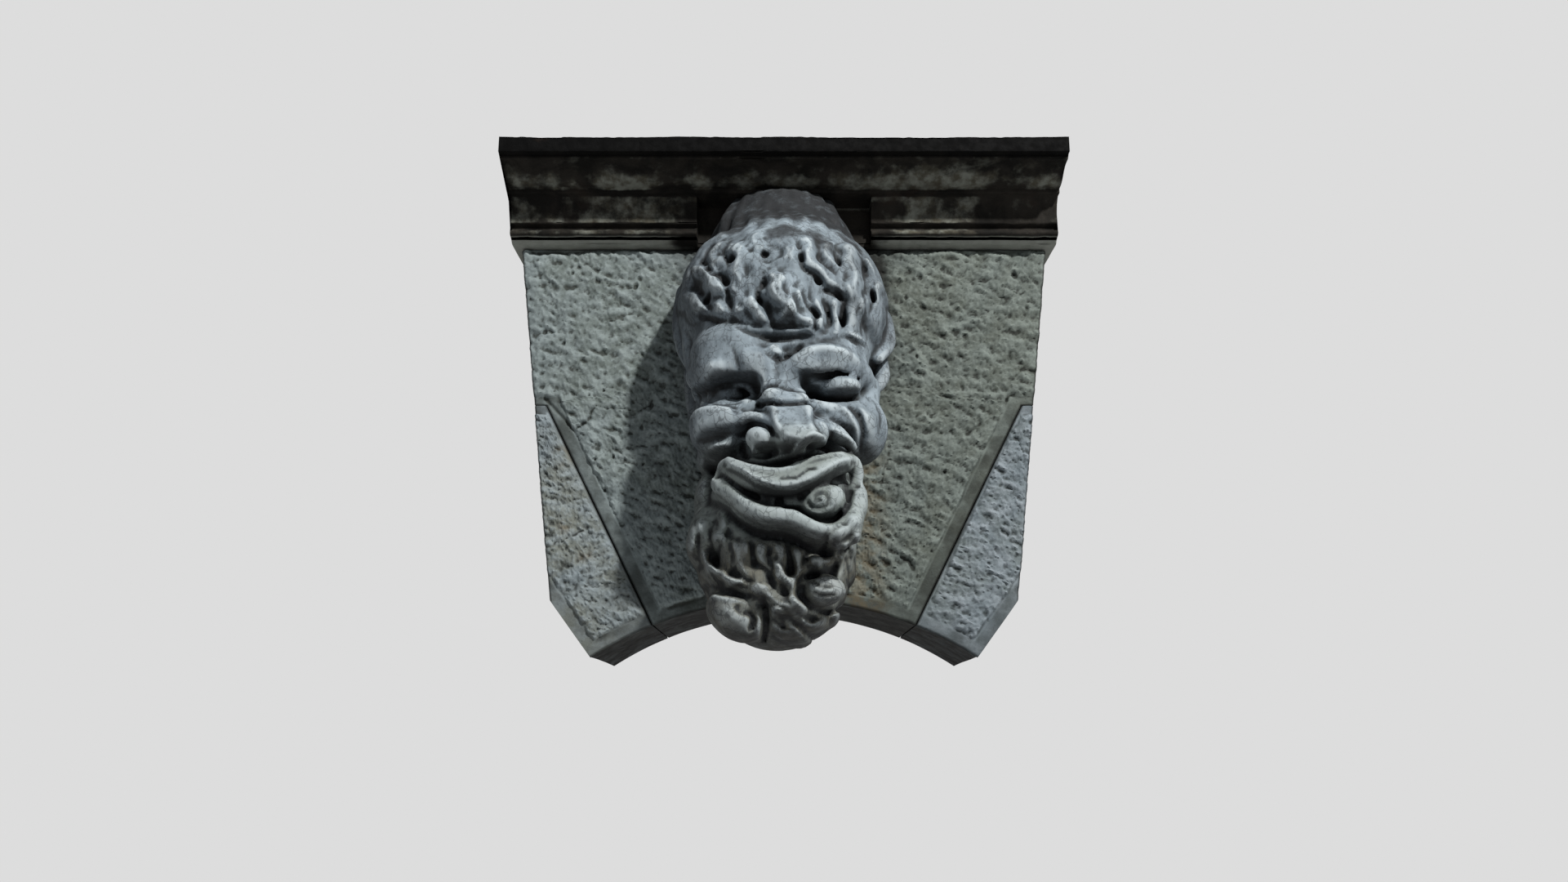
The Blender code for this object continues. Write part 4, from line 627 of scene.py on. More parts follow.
def carve_eyes(clay):
    clay.cut(ball((-10.4, 47.7, 30.4), (6, 2.2, 8), 3), 0.9)
    clay.cut(ball((-5.8, 47.4, 31.5), (1.9, 2.4, 4.2), 20), 1)
    clay.cut(ball((6.6, 46.5, 31), (4.6, 2.1, 7), 4), 0.9)
    clay.cut(ball((4, 47.8, 31.4), (1.9, 2.2, 4.4), -30), 1)
    clay.add(ball((-10.8, 47.8, 23), (3.1, 2.1, 3.6)), 0.4)
    clay.add(roll([(-14.8, 48.2, 22), (-11.5, 49.8, 25), (-7.6, 49.3, 26.2), (-5.8, 47.4, 26.4)],
                  [0.6, 0.8, 0.8, 0.5]), 0.5)
    clay.add(roll([(-14.6, 47.9, 22.2), (-12, 46.2, 25.4), (-8.6, 45.7, 26.6), (-6, 46.9, 26.6)],
                  [0.5, 0.8, 0.8, 0.5]), 0.5)
    clay.add(roll([(-15.6, 46.4, 23.4), (-11.4, 44.2, 27.2), (-7, 44, 29.2)], [1, 1.3, 1.1]), 1.2)
    clay.groove([(-16.4, 48), (-13.6, 45.7), (-11, 44.9), (-7.8, 45)], 0.7, 0.7, 1.5)
    clay.add(ball((10.8, 48.8, 25.2), (4.3, 2.3, 5), 10), 1.4)
    clay.cut(roll([(4, 48.9, 30.6), (7, 50.2, 30), (10.8, 50.9, 29), (14.2, 50.4, 26.2)],
                  [0.6, 0.8, 0.7, 0.4], 2), 0.6)
    clay.groove([(4.6, 47.8), (7.6, 46.4), (11.4, 46.3), (14.8, 47.8)], 1.8, 1, 1.5)
    clay.add(roll([(4.4, 45.6, 28.2), (8.4, 44.2, 28.2), (13, 45.6, 24.8)], [0.9, 1.2, 1]), 0.9)
    clay.groove([(4.9, 43.2), (8.5, 42.6), (11.8, 44), (14, 46.4)], 0.5, 0.8, 1.5)


def carve_nose(clay):
    clay.add(roll([(-0.6, 49, 29.8), (-0.2, 46, 30), (0.6, 41, 31.5)], [2.8, 3.6, 4.4]), 2.5)
    clay.add(block((0.2, 44.7, 32), (4.4, 2, 2.6), -5, -8, 1.3), 1.6)
    clay.add(block((1.4, 38.2, 33.6), (3.5, 4.8, 4.4), -4, 31, 1.9), 1.8)
    clay.add(ball((2.6, 36.2, 36.2), (4.4, 2.5, 4.8), -6), 1.2)
    clay.add(ball((-4.1, 36.4, 33.8), (3.3, 2.5, 4), -8), 0.5)
    clay.add(ball((6.2, 38, 33.2), (2.2, 2.4, 3.2), 20), 0.7)
    clay.groove([(-4.9, 44.2), (-2.4, 43.3), (-0.8, 42.8), (2, 42.8), (4.9, 43.3)], 1.3, 0.9)
    clay.groove([(-4.6, 45.8), (-3.4, 46.6), (-1.7, 47), (0.2, 46.2), (2.2, 45.8),
                 (5, 45.6)], 0.9, 0.8)
    clay.ridge([(-1.9, 42.2), (-1.6, 39.8), (-1, 37.4)], 0.5, 0.6, 1.6)
    clay.ridge([(4.5, 42.4), (4.7, 39.6), (4.9, 37.4)], 0.5, 1.6, 0.6)
    clay.add(roll([(-9.6, 40.9, 28), (-7.2, 41.4, 30.6), (-4.6, 40.6, 33), (-2.2, 39, 35)],
                  [1.3, 1.4, 1.3, 0.9]), 0.9)
    clay.groove([(-9.2, 38.6), (-7.4, 39.2), (-6, 40.2), (-4, 39.1), (-2.5, 37.7),
                 (-0.9, 35.4)], 1.2, 0.9, 2)
    clay.groove([(-7.8, 38), (-7.8, 36), (-6.2, 34)], 0.9, 1, 1.5)
    clay.ridge([(0.4, 35.4), (2.6, 34.9), (5.2, 36)], 0.7, 1.4)
    clay.cut(ball((-3, 33.7, 35.5), (2.2, 1.1, 3)), 0.5)
    clay.cut(ball((4.6, 34.7, 35.6), (1.7, 1, 3)), 0.5)


def carve_cheeks(clay):
    clay.add(ball((-11.8, 41, 21.5), (6.8, 5, 9.4)), 1.6)
    clay.ridge([(-17, 44.2), (-15, 44.4), (-11.9, 43.8), (-8.6, 43)], 1.2, 0.8, 3.6)
    clay.ridge([(-16, 40.6), (-13.1, 41), (-9.8, 40.8)], 0.6, 2.4)
    clay.groove([(-17.2, 38.6), (-15.2, 38), (-13, 38), (-10.6, 38.7),
                 (-8.8, 39.4)], 0.7, 1.6, 3)
    clay.ridge([(-15.2, 36.8), (-12, 36.4), (-9.2, 37)], 0.9, 1.9, fade=2.0)
    clay.groove([(-15.8, 35.4), (-12.3, 34.6), (-9.4, 35)], 0.8, 1, 2)
    clay.groove([(-9.6, 43.8), (-9, 42.6), (-7.2, 42.4)], 0.8, 0.7)
    clay.add(ball((8.5, 42, 20.2), (7, 4.2, 8.6)), 2)
    clay.add(ball((15.6, 42.4, 17), (5.2, 6.8, 8), -10), 2)
    clay.add(roll([(17, 52.5, 16), (16.6, 48.8, 19.5), (14.6, 45.6, 23)], [2.4, 2.2, 1.6]), 1.6)
    clay.ridge([(13.6, 45.4), (15.6, 43), (16.2, 39.6)], 1.2, 2.4, 2.2, fade=3.0)
    clay.ridge([(11.9, 44), (13.4, 42), (14.2, 39.6), (13.6, 37.2)], 0.9, 1.3)
    clay.groove([(12, 45), (14.3, 43.6), (15.2, 41), (14.9, 38.2), (15.6, 36)], 0.8, 1.3, 3)
    clay.groove([(18, 47.6), (18.9, 44), (18.4, 39.8)], 0.6, 1.3, 2.5)
    clay.add(roll([(6.4, 40.6, 30.6), (8.4, 39, 31.2), (10.6, 37.8, 30.4), (12.8, 36.6, 27.8)],
                  [1, 1.7, 1.9, 1.2]), 1)
    clay.ridge([(6.6, 40.4), (8.4, 39), (10.4, 37.8), (12.6, 36.8)], 0.8, 1.3, 1)
    clay.groove([(6.4, 39), (7, 37.4), (8.7, 36.6), (10.8, 35.3), (12.9, 35)], 1.4, 1.1, 2)
    clay.groove([(8.2, 42.2), (10.4, 41.4), (12.2, 39.6), (13.8, 37.6)], 1.1, 1.2, 1.5)
    clay.groove([(18.4, 35.2), (15.6, 34.4), (13.6, 34.6)], 2.4, 1.5)
    clay.groove([(14.4, 35.4), (15, 32), (15.6, 28), (15, 23.8)], 0.7, 1.3, 3)


def carve_mouth(clay):
    clay.add(ball((0.3, 26.5, 21.4), (13.4, 8.4, 12.2)), 3)
    clay.cut(roll([(-10.8, 31.4, 29.4), (-8, 28.2, 32.6), (-4, 25.4, 35.4), (0.5, 24.7, 36.6),
                   (5, 25, 36.6), (8.8, 26.4, 34.6), (11.2, 28, 32)],
                  [0.8, 1.8, 2.6, 2.9, 3.3, 3.3, 1.6], 1.7), 0.6)
    clay.add(block((-7.6, 27.2, 29.2), (1.6, 1.1, 1.6), -34, 0, 0.4), 0.2)
    clay.add(block((-3, 25.2, 31.2), (1.35, 1.6, 1.9), -10, 0, 0.35), 0.2)
    clay.add(block((1.3, 25.2, 31.4), (1.4, 1.5, 1.9), 6, 0, 0.35), 0.2)
    clay.add(ball((7, 25.3, 31.2), (4.5, 3.6, 4.2), 20), 0.4)
    clay.groove([(4.4, 24.6), (5.2, 23.7), (7.2, 23.7), (8, 25), (7.3, 26.2), (5.8, 25.9),
                 (5.6, 25), (6.6, 24.7)], 0.9, 0.7)
    clay.groove([(3.4, 25.9), (4.6, 27), (7.2, 28), (9.8, 28.8)], 0.8, 0.6)
    clay.add(roll([(-11.4, 33, 26.6), (-8.6, 31, 30), (-4.6, 29, 33.2), (-0.4, 28.3, 34.8),
                   (4, 29.4, 34.6), (8.2, 31.6, 32.2), (11.4, 33, 29)],
                  [1.3, 2.1, 2.5, 2.5, 2.4, 2.2, 1.8]), 1.2)
    clay.add(roll([(10.4, 33.6, 28.8), (13, 33.4, 27.4), (13.9, 31, 26.8), (12.8, 28.6, 27)],
                  [1.8, 1.6, 1.3, 0.9]), 0.6)
    clay.add(roll([(-9.8, 33.6, 27.8), (-11.6, 32.6, 26.4), (-12.4, 30.4, 26.2), (-11.6, 28.4, 27.4)],
                  [1.2, 1.1, 1, 0.9]), 0.6)
    clay.ridge([(-10.2, 32.2), (-7.3, 30.1), (-5.3, 28.5), (-3.4, 27.5), (-1.3, 26.8), (0.9, 26.7),
                (3, 27.3), (5.1, 28.3), (7.3, 29.8), (9.6, 31.5), (11.8, 32.7)], 1.6, 3.4, 1, "sharp")
    clay.ridge([(-10.4, 34.2), (-7, 32), (-4.5, 31.1), (-2.3, 30.4), (0.3, 30.5), (3, 31.8),
                (5.8, 33.1), (8.5, 34.2), (11, 34.9)], 0.7, 0.7, 1.3)
    clay.groove([(-10, 35), (-7, 33.1), (-4.2, 32.2), (-1.8, 31.7), (0.6, 31.9), (3.2, 33.2),
                 (5.8, 34.4), (8.6, 35.2), (11.2, 35.8)], 1, 0.9)
    clay.groove([(-0.6, 28.2), (1.9, 28.4), (3, 29.1), (4.3, 30.1), (5.6, 30.3)], 0.9, 0.5)
    clay.groove([(2.4, 30.3), (4, 31)], 0.5, 0.4)
    clay.add(roll([(-11.9, 31, 26.8), (-10.6, 28.2, 28.2), (-7.4, 24.7, 31), (-3.2, 22.2, 33.4),
                   (1.2, 21.3, 34.2), (4.8, 20.2, 34.4), (8.2, 19.4, 33.4), (11.2, 21.2, 31),
                   (13.3, 24.6, 28.4), (13.9, 28.2, 26)],
                  [1, 1.5, 1.9, 2, 2, 1.8, 1.8, 2, 1.8, 1.3]), 0.7)
    clay.ridge([(-12, 29.4), (-10, 27.4), (-7.6, 25.2), (-5.6, 23.8), (-3.6, 22.8), (-1, 22.4),
                (1.4, 22.1), (3.6, 21), (5.8, 19.6), (7.8, 19.2), (9.8, 19.8), (11.6, 21.6),
                (13.2, 24.4), (13.8, 27.6)], 1.1, 1.2, 2.6, "flat")
    clay.groove([(0.3, 23.7), (1.7, 23.6), (3.2, 22.9), (4.8, 21.7), (7.4, 21.2), (9.2, 21.6),
                 (10.5, 23)], 1.2, 0.8)
    clay.ridge([(-6.2, 34), (-4.2, 33), (0.8, 32.6), (2.4, 33.6)], 0.7, 0.9)
    clay.ridge([(1.9, 32.2), (4.8, 35.2), (7.4, 35.9)], 0.9, 1)
    clay.groove([(-13.4, 27), (-10.8, 25), (-8.4, 22.4), (-5.4, 20.2), (-2.4, 19.2), (1, 18.9),
                 (4.2, 17.6), (7.6, 16.8), (10.8, 17.8), (13.4, 20.4)], 1.7, 2.2, 4)


def carve_beard(clay):
    locks = [
        ([(-16.6, 17.6), (-14.6, 15.6), (-12.5, 13), (-10.3, 11.6), (-7.4, 10.8)], 1.5, 0.8),
        ([(-16.2, 14.8), (-14.2, 12.6), (-11.3, 10.6), (-7.2, 9.4), (-3.1, 8.2), (0.9, 6.6),
          (3, 4.6)], 1.7, 1.4),
        ([(-10.9, 20.6), (-11.1, 17.6), (-10.4, 14.6), (-8.6, 12.4)], 1.5, 1.6),
        ([(-8, 19), (-8.2, 16), (-7.2, 13.4), (-5.6, 11.2), (-3.9, 9.2)], 1.8, 1.6),
        ([(-5, 18.4), (-4.6, 16.6), (-3.4, 14.2), (-1.7, 12.2), (-0.1, 10.8), (0.8, 9)], 1.6, 1.2),
        ([(-1.2, 18.6), (-1, 15.6), (-0.4, 12.6), (1, 10.2), (2.3, 7.9), (4.2, 5.7)], 1.5, 1),
        ([(2.6, 18.2), (2.7, 15.2), (2.4, 12.4), (1.4, 10)], 1.5, 1.1),
        ([(5, 18), (5.4, 15.8), (4.6, 13.4)], 1.4, 1.2),
        ([(13.4, 22.6), (12.1, 19.4), (9.5, 16.9), (7.4, 15.4), (5.6, 13.4)], 1.7, 1.4),
        ([(10.6, 18.4), (11.2, 15.6), (10.9, 13), (12, 10.6)], 1.6, 1.3),
        ([(14.4, 19.6), (13.6, 16.4), (13.2, 12.8)], 1.3, 1.2),
        ([(-14.8, 24.6), (-14.9, 20.6), (-14.4, 17.8)], 1.2, 1.4),
        ([(-17.6, 23.6), (-17.9, 19.8), (-17, 16.8)], 1.2, 1.4),
        ([(-12, 23.6), (-12.5, 20.6), (-13, 18)], 1, 1),
        ([(1.2, 8), (3.6, 6.6), (6, 6.1), (8.2, 6.4)], 1, 0.9),
        ([(-3.4, 6.8), (-0.6, 5.8), (0.9, 4.2), (2.4, 2.4)], 1.3, 1.1),
        ([(-3.4, 4.3), (-0.5, 3), (2.2, 1.8), (4.8, 1.4)], 1.3, 1),
        ([(1.7, 5.3), (3.9, 4), (7, 4), (9, 4.6)], 1.1, 0.9),
        ([(9.6, 8.2), (9.8, 6), (10.2, 4.2)], 1, 1),
    ]
    grooves = [
        ([(-17.6, 15.6), (-14.8, 14.6), (-12.6, 12), (-9.8, 10.6), (-6.8, 10.1)], 1.2, 0.7),
        ([(-15.6, 12.6), (-13.4, 11.2), (-11, 9.6), (-8.1, 8.9), (-5.1, 8), (-2, 6.9), (0.7, 5.4),
          (2.3, 4)], 2, 1),
        ([(-12.6, 19.4), (-12.3, 16.2), (-12.4, 14.2), (-11.2, 12.2)], 1.5, 0.9),
        ([(-9.7, 19.6), (-9.6, 16), (-8.9, 13.4), (-7.4, 11.3), (-5.4, 9.7)], 2, 0.9),
        ([(-6.6, 19), (-6, 16.8), (-4.9, 14.6), (-3.4, 12.9), (-2.4, 11.2)], 2, 0.9),
        ([(-2.9, 17), (-2.4, 14.4), (-1.2, 12.2), (-0.2, 10.2), (0.6, 8.4)], 1.5, 0.8),
        ([(0.4, 17.4), (0.9, 15.4), (1.3, 13.4), (0.9, 11.6)], 2.2, 1.2),
        ([(3.9, 17), (4, 14.8), (3.3, 12.9)], 1.5, 0.9),
        ([(7, 19), (7.6, 17.2), (7, 16)], 1.2, 1),
        ([(11.4, 17.8), (9.9, 15.4), (8.2, 14.3), (6.6, 14.2)], 1.8, 0.9),
        ([(12.4, 17.6), (12.4, 14), (12.2, 11.4)], 1.5, 0.9),
        ([(-16.3, 22.6), (-16.4, 19.4), (-15.8, 16.6)], 1.4, 0.8),
        ([(-13.6, 22.6), (-13.9, 19.6), (-13.8, 17)], 1.2, 0.8),
        ([(-4, 5.4), (-1.6, 4.2), (0.6, 2.8), (2.8, 1)], 1.4, 0.8),
        ([(1, 4.4), (3.6, 2.8), (6.8, 2.6), (9, 3.2)], 1.3, 0.8),
        ([(2.4, 5.9), (5, 5), (8.2, 5.2)], 1.1, 0.7),
    ]
    for points, height, width in locks:
        clay.lock(points, 1.25 * height, 1.6 * width, (-0.5, 0.5))
    for points, depth, width in grooves:
        clay.groove(wavy(points, 0.3), 0.62 * depth, width, GROOVE_FADE)
    clay.add(ball((-9, 5.6, 19), (6.4, 4.4, 8.8), -32), 0.8)
    clay.groove([(-8.6, 6.4), (-7.7, 5.5), (-6.6, 5.5), (-5.7, 4.4), (-6.1, 2.8)], 1.2, 0.8)
    clay.ridge([(-13.2, 8.8), (-10.4, 8.2), (-7.4, 7.6), (-5.2, 6.6), (-4.2, 4.4),
                (-4.6, 2.4)], 0.8, 0.8, 1.2)
    clay.groove([(-3.8, 8), (-3.2, 6), (-3.3, 3.8), (-3.8, 1.6)], 1.6, 0.8)
    clay.lock([(-12, 6.8), (-10, 5.6), (-8, 4)], 0.3, 1.5)
    clay.add(ball((7.3, 10, 23.6), (4.4, 3.2, 5.6), -8), 0.5)
    clay.groove([(5.2, 11.2), (6.4, 10.3), (7.7, 10), (8.8, 10.2)], 0.9, 0.6)
    clay.groove([(5.6, 9), (7.4, 8.5), (9.2, 8.7)], 0.6, 0.6)
    clay.groove([(6, 12.4), (3.6, 12.2), (2.6, 10.6), (2.8, 8.6), (4.4, 7), (6.8, 6.4), (9.4, 6.9),
                 (11.4, 8.4)], 1.7, 0.9)
    clay.add(roll([(-3.4, 18.2, 27.6), (-2.2, 17.9, 28.6), (-1.5, 16.6, 29), (-2.2, 15.3, 29)],
                  [0.6, 0.9, 0.8, 0.5]), 0.4)


def calm_centre(points):
    """The hair lies smoother over the middle of the dome, and at its sides."""
    a, b = points[len(points) // 2]
    at_side = min(max((abs(a) - 13) / 6, 0), 1)
    return 1 - 0.55 * math.exp(-((a - 1) / 8) ** 2 - ((b - 73) / 7) ** 2) - 0.35 * at_side


def carve_hair(clay):
    locks = [
        ([(-11.6, 85.4), (-14.6, 83.4), (-17.6, 80.6), (-19.4, 77), (-19.6, 73.4)], 1.4, 1.6),
        ([(-19.8, 76), (-20.6, 71.6), (-19.4, 68.4), (-17.4, 66.2), (-15.2, 65.4)], 1.9, 1.5),
        ([(-17.4, 76.6), (-15.8, 72.6), (-14.2, 69.8), (-12.2, 68), (-11.6, 66.2)], 1.8, 1.5),
        ([(-12.8, 81.6), (-14.2, 78.4), (-14.4, 75.6), (-13, 73.2)], 1.4, 1.3),
        ([(-9.6, 80.2), (-10.8, 77.6), (-12.2, 75.2)], 1.2, 1.3),
        ([(-7.4, 78.6), (-8.8, 75.6), (-9.6, 72.4), (-8.6, 69.6), (-9.2, 66.6), (-8, 64.4),
          (-6.4, 61.6)], 1.5, 1.6),
        ([(-4.4, 82), (-6.2, 78.6), (-5.6, 75.8), (-6.4, 72.8), (-5.4, 69.8), (-6.2, 66.6),
          (-5.2, 64), (-3.9, 60.8)], 1.1, 1.5),
        ([(-1.8, 79.4), (-0.2, 77.2), (0.6, 75), (-0.6, 72.8), (-2.6, 71.8)], 1.1, 1.2),
        ([(-2.9, 70.8), (-2.2, 68), (-1.6, 65.8), (-0.8, 64), (0.4, 62), (-0.2, 60.2)], 2, 1.4),
        ([(0.6, 70.2), (0.6, 66.8), (1.6, 63.8), (3.3, 61.3), (4.9, 59.6), (5.8, 57.9)], 1.8, 1.5),
        ([(2.4, 68), (3.6, 65.6), (4.4, 63.4), (4.9, 61.4)], 1.2, 1),
        ([(1.6, 82.6), (1.2, 79.2), (2, 76.2), (1.6, 73.2), (2.2, 70.6)], 0.9, 1.5),
        ([(4.4, 80.6), (5, 77.6), (4.6, 74.4), (7, 70.9), (10.4, 68.6), (11.8, 65.6)], 1.6, 1.5),
        ([(8.2, 80), (8.4, 77), (9, 74.2), (11.2, 71.6), (13, 70.6)], 1.3, 1.4),
        ([(12.2, 80.6), (13.4, 76.8), (13.9, 73), (14.4, 68.8), (14, 64),
          (13.4, 60)], 1.9, 1.8),
        ([(16.6, 79.6), (18.4, 76), (18.2, 72), (17, 69.4), (17, 66),
          (16, 62.6)], 1.5, 1.5),
        ([(20.4, 74.4), (20, 71.4), (19.2, 68.2), (19.2, 65), (17.8, 61.4)], 1.6, 1.5),
        ([(6.4, 66), (6.9, 63.4), (7, 61), (6.8, 58.8)], 1.4, 0.9),
        ([(9.2, 66.2), (9.6, 63.8), (10.6, 61.4), (9.6, 59.2)], 1.5, 1.1),
        ([(-12.2, 66.4), (-12.8, 64.4), (-11.4, 62.6)], 1.3, 1.1),
        ([(-10, 64.8), (-9.8, 62.8), (-8, 61.6)], 1.1, 0.9),
    ]
    grooves = [
        ([(-17, 78.4), (-16.2, 75.8), (-14, 72.4), (-11.8, 70.4), (-11, 67.4), (-10.5, 64.6),
          (-9.3, 61.9)], 2.3, 1.1),
        ([(-17.6, 71.8), (-16, 68.6), (-14.9, 66.4), (-13.4, 64.2)], 1.8, 0.9),
        ([(-15.8, 80.6), (-15.7, 77.6), (-15.4, 75.4)], 1.2, 0.9),
        ([(-11.4, 79.4), (-12.4, 77), (-10.9, 74.6), (-10.6, 72)], 1.7, 0.9),
        ([(-7.1, 78.8), (-6.9, 76.7), (-5.6, 75), (-3.9, 74.8)], 1.4, 0.8),
        ([(-7.4, 74.6), (-7.8, 71.6), (-7, 68.8), (-7.6, 66), (-6.6, 63.4)], 1.3, 0.8),
        ([(-3.2, 77.6), (-1, 75.6), (-0.6, 73.8), (-3, 73), (-4, 74.8)], 1.5, 0.8),
        ([(-4, 71.6), (-4.2, 68.4), (-4.8, 65.6), (-4.6, 64), (-3.3, 63.2), (-2.7, 62),
          (-2, 60.6), (-0.6, 59.4), (1.4, 59)], 1.3, 0.9),
        ([(-0.4, 68.4), (0.2, 65.6), (1.6, 62.6), (1.8, 60.8), (0.8, 59.8)], 1, 0.8),
        ([(2.9, 77.6), (3.3, 74.4), (4, 71.8), (5.6, 70.1), (7, 68.9), (9.4, 67.2),
          (11.9, 66.2)], 2.4, 1),
        ([(3.4, 67.2), (4.2, 64.6), (5.6, 62.4), (6, 60.4), (6.5, 58.2), (8.6, 58.2)], 1.8, 0.8),
        ([(7.9, 65.6), (8.2, 62.6), (8.4, 60)], 1.5, 0.8),
        ([(11.9, 66.4), (11.6, 63.4), (11.2, 61.2), (11.4, 58.4)], 2.1, 1),
        ([(6.6, 79.4), (6.6, 76.4), (7.2, 73.8), (9.6, 71.2), (11.2, 69.6)], 1.6, 0.9),
        ([(10.3, 79.6), (10.4, 76.6), (10.7, 74.4), (11.8, 72.6)], 1.7, 0.9),
        ([(15.4, 78.6), (16.4, 74.6), (16, 71.4), (16.2, 68), (15.9, 63.4),
          (15.2, 59.8)], 2, 1),
        ([(19, 73), (18, 70), (18, 66.4), (17.4, 63)], 1.5, 0.8),
        ([(11.5, 58.2), (13.4, 57.6), (15.8, 58.6)], 1.4, 1),
        ([(-18.6, 66), (-16.6, 64.4), (-14.2, 63), (-11.6, 62)], 1.4, 0.9),
    ]
    for points, height, width in locks:
        clay.lock(points, 1.15 * calm_centre(points) * height, 1.5 * width)
    clay.ridge([(-3.6, 67.6), (-2.2, 65), (-0.6, 62.8), (1.4, 60.6)], 1.5, 2.6, 2.2, "plump", 1.5)
    clay.ridge([(-7.6, 66.2), (-6.4, 63.8), (-4.6, 61.6), (-2.4, 60)], 1.2, 2, 1.6, "plump", 1.5)
    for points, depth, width in grooves:
        clay.groove(wavy(points, 0.35), 0.64 * calm_centre(points) * depth, 0.84 * width, GROOVE_FADE)
    clay.ridge([(-17, 66), (-12.6, 62.9), (-9, 61.6), (-5.2, 60.1), (-0.8, 59.4), (3.6, 58.8),
                (6.1, 57.8), (8.9, 57.8), (11.5, 58.8), (15, 58.6)], 0.6, 4, 0.8)
    clay.add(roll([(21, 68.5, 12), (21.4, 63.5, 12), (19.4, 58.8, 15)], [2, 2.2, 1.3]), 1)
    clay.add(roll([(20.4, 60.5, 10), (20.4, 56, 11), (18.6, 52.4, 13)], [1.6, 1.8, 1.2]), 1)
    clay.add(roll([(-22, 76, 9), (-22.4, 69.5, 9), (-21.2, 63, 11),
                   (-18.8, 57, 13)], [1.4, 1.7, 1.9, 1.4]), 1)
    clay.add(roll([(-20, 66, 14.5), (-19.2, 60, 16), (-18.2, 54.5, 17),
                   (-17.6, 50, 16)], [1.4, 1.8, 1.5, 1]), 1)
    clay.add(roll([(-19.6, 58, 8), (-18.8, 51, 9), (-17.8, 45, 10)], [1.8, 2, 1.4]), 1.2)
    holes = [(-10.3, 75, 0.7, 1.1, 30), (-11.6, 70.3, 0.9, 1.7, 25), (-3.8, 74.9, 1, 0.9, 0),
             (3.3, 73.9, 0.6, 1.3, 15), (6.7, 69.2, 0.7, 1.2, 50), (10.9, 66.8, 0.7, 1.3, 50),
             (10.6, 74.6, 0.5, 1.5, 15), (17.9, 69.4, 0.6, 1.3, 10), (-4.7, 64.6, 0.5, 0.9, 40),
             (11.2, 61.7, 0.6, 1.3, 10), (-15.3, 67.6, 0.6, 1.3, -30)]
    for a, b, wide, high, turn in holes:
        clay.cut(ball((a, b, hair_depth(a, b) + 1.6), (wide, high, 3.4), turn), 0.8)


def crown_depth(a, b):
    """How far out the smooth crown stands over the hair at (a, b)."""
    inside = 1 - ((a + 0.5) / 18) ** 2 - ((b - 84) / 20) ** 2
    return 15 * math.sqrt(max(inside, 0.05))


def carve_crown(clay):
    """Plain locks that run back over the crown to the wall."""
    for a in np.linspace(-14, 13.4, 9):
        path = [(a, 81, hair_depth(a, 81) - 1.6), (0.95 * a + 0.8, 86, hair_depth(a, 86) - 0.6),
                (0.84 * a - 0.6, 92, crown_depth(0.84 * a, 92) - 0.7),
                (0.74 * a, 99, crown_depth(0.74 * a, 99) - 0.9)]
        clay.add(roll(path, [1.2, 1.9, 1.9, 1.6]), 1.2)


# The outlines of the stones, right-hand side; the left is their mirror
def arch_z(x):
    return ARCH_CENTRE_Z + np.sqrt(ARCH_RADIUS ** 2 - x ** 2)


def arch_gap_at(x, z):
    """How far outside the edge of the arch each place lies."""
    return np.hypot(x, z - ARCH_CENTRE_Z) - ARCH_RADIUS


def arch_line(start, end):
    return [(x, float(arch_z(x))) for x in np.linspace(start, end, ARCH_POINTS)]


def side_x(z):
    """The cut side of the fragment: it leans in towards the foot."""
    return WALL_HALF_TOP - (WALL_TOP_Z - z) * SIDE_TAPER


JOINT_FOOT_Z = float(arch_z(JOINT_HALF_BOTTOM))
JOINT_TOP = side_x(BED_JOINT_Z) - BED_JOINT_LENGTH
JOINT_SLOPE = (JOINT_TOP - JOINT_HALF_BOTTOM) / (BED_JOINT_Z - JOINT_FOOT_Z)


def joint_x(z, off=0.0):
    """The slanted joint between the haunch and the voussoir, moved sideways by off."""
    return JOINT_HALF_BOTTOM + (z - JOINT_FOOT_Z) * JOINT_SLOPE + off


def along(path, count):
    """Evenly spaced places along a line of points."""
    path = np.array(path, float)
    lengths = np.hypot(*np.diff(path, axis=0).T)
    walked = np.concatenate([[0], np.cumsum(lengths)])
    places = np.linspace(0, walked[-1], count)
    return np.column_stack([np.interp(places, walked, path[:, i]) for i in (0, 1)])


def patch(bottom, right, left, grid):
    """A grid of places stretched between its edge lines, with a straight top."""
    across, up = grid
    top = [left[-1], right[-1]]
    bottom, top = along(bottom, across)[None], along(top, across)[None]
    left, right = along(left, up)[:, None], along(right, up)[:, None]
    u = np.linspace(0, 1, across)[None, :, None]
    v = np.linspace(0, 1, up)[:, None, None]
    sides = (1 - u) * left + u * right + (1 - v) * bottom + v * top
    low = (1 - u) * bottom[:, :1] + u * bottom[:, -1:]
    high = (1 - u) * top[:, :1] + u * top[:, -1:]
    return sides - (1 - v) * low - v * high


def loop_of(rows, columns):
    """The rim of a grid as (row, column) pairs, once round from the lower left corner."""
    low = [(0, j) for j in range(columns - 1)]
    right = [(i, columns - 1) for i in range(rows - 1)]
    high = [(rows - 1, j) for j in range(columns - 1, 0, -1)]
    left = [(i, 0) for i in range(rows - 1, 0, -1)]
    return low + right + high + left


def hollow_shade_of(relief):
    """0 on crests, 1 in hollows, from the depth against the depths around; the stone paint puts painted
    highlight on the crests and painted shade in the hollows from it.
    """
    return np.clip(0.5 + (relief - blurred(relief, HOLLOW_SHADE_REACH)) / HOLLOW_SHADE_DEPTH, 0, 1)


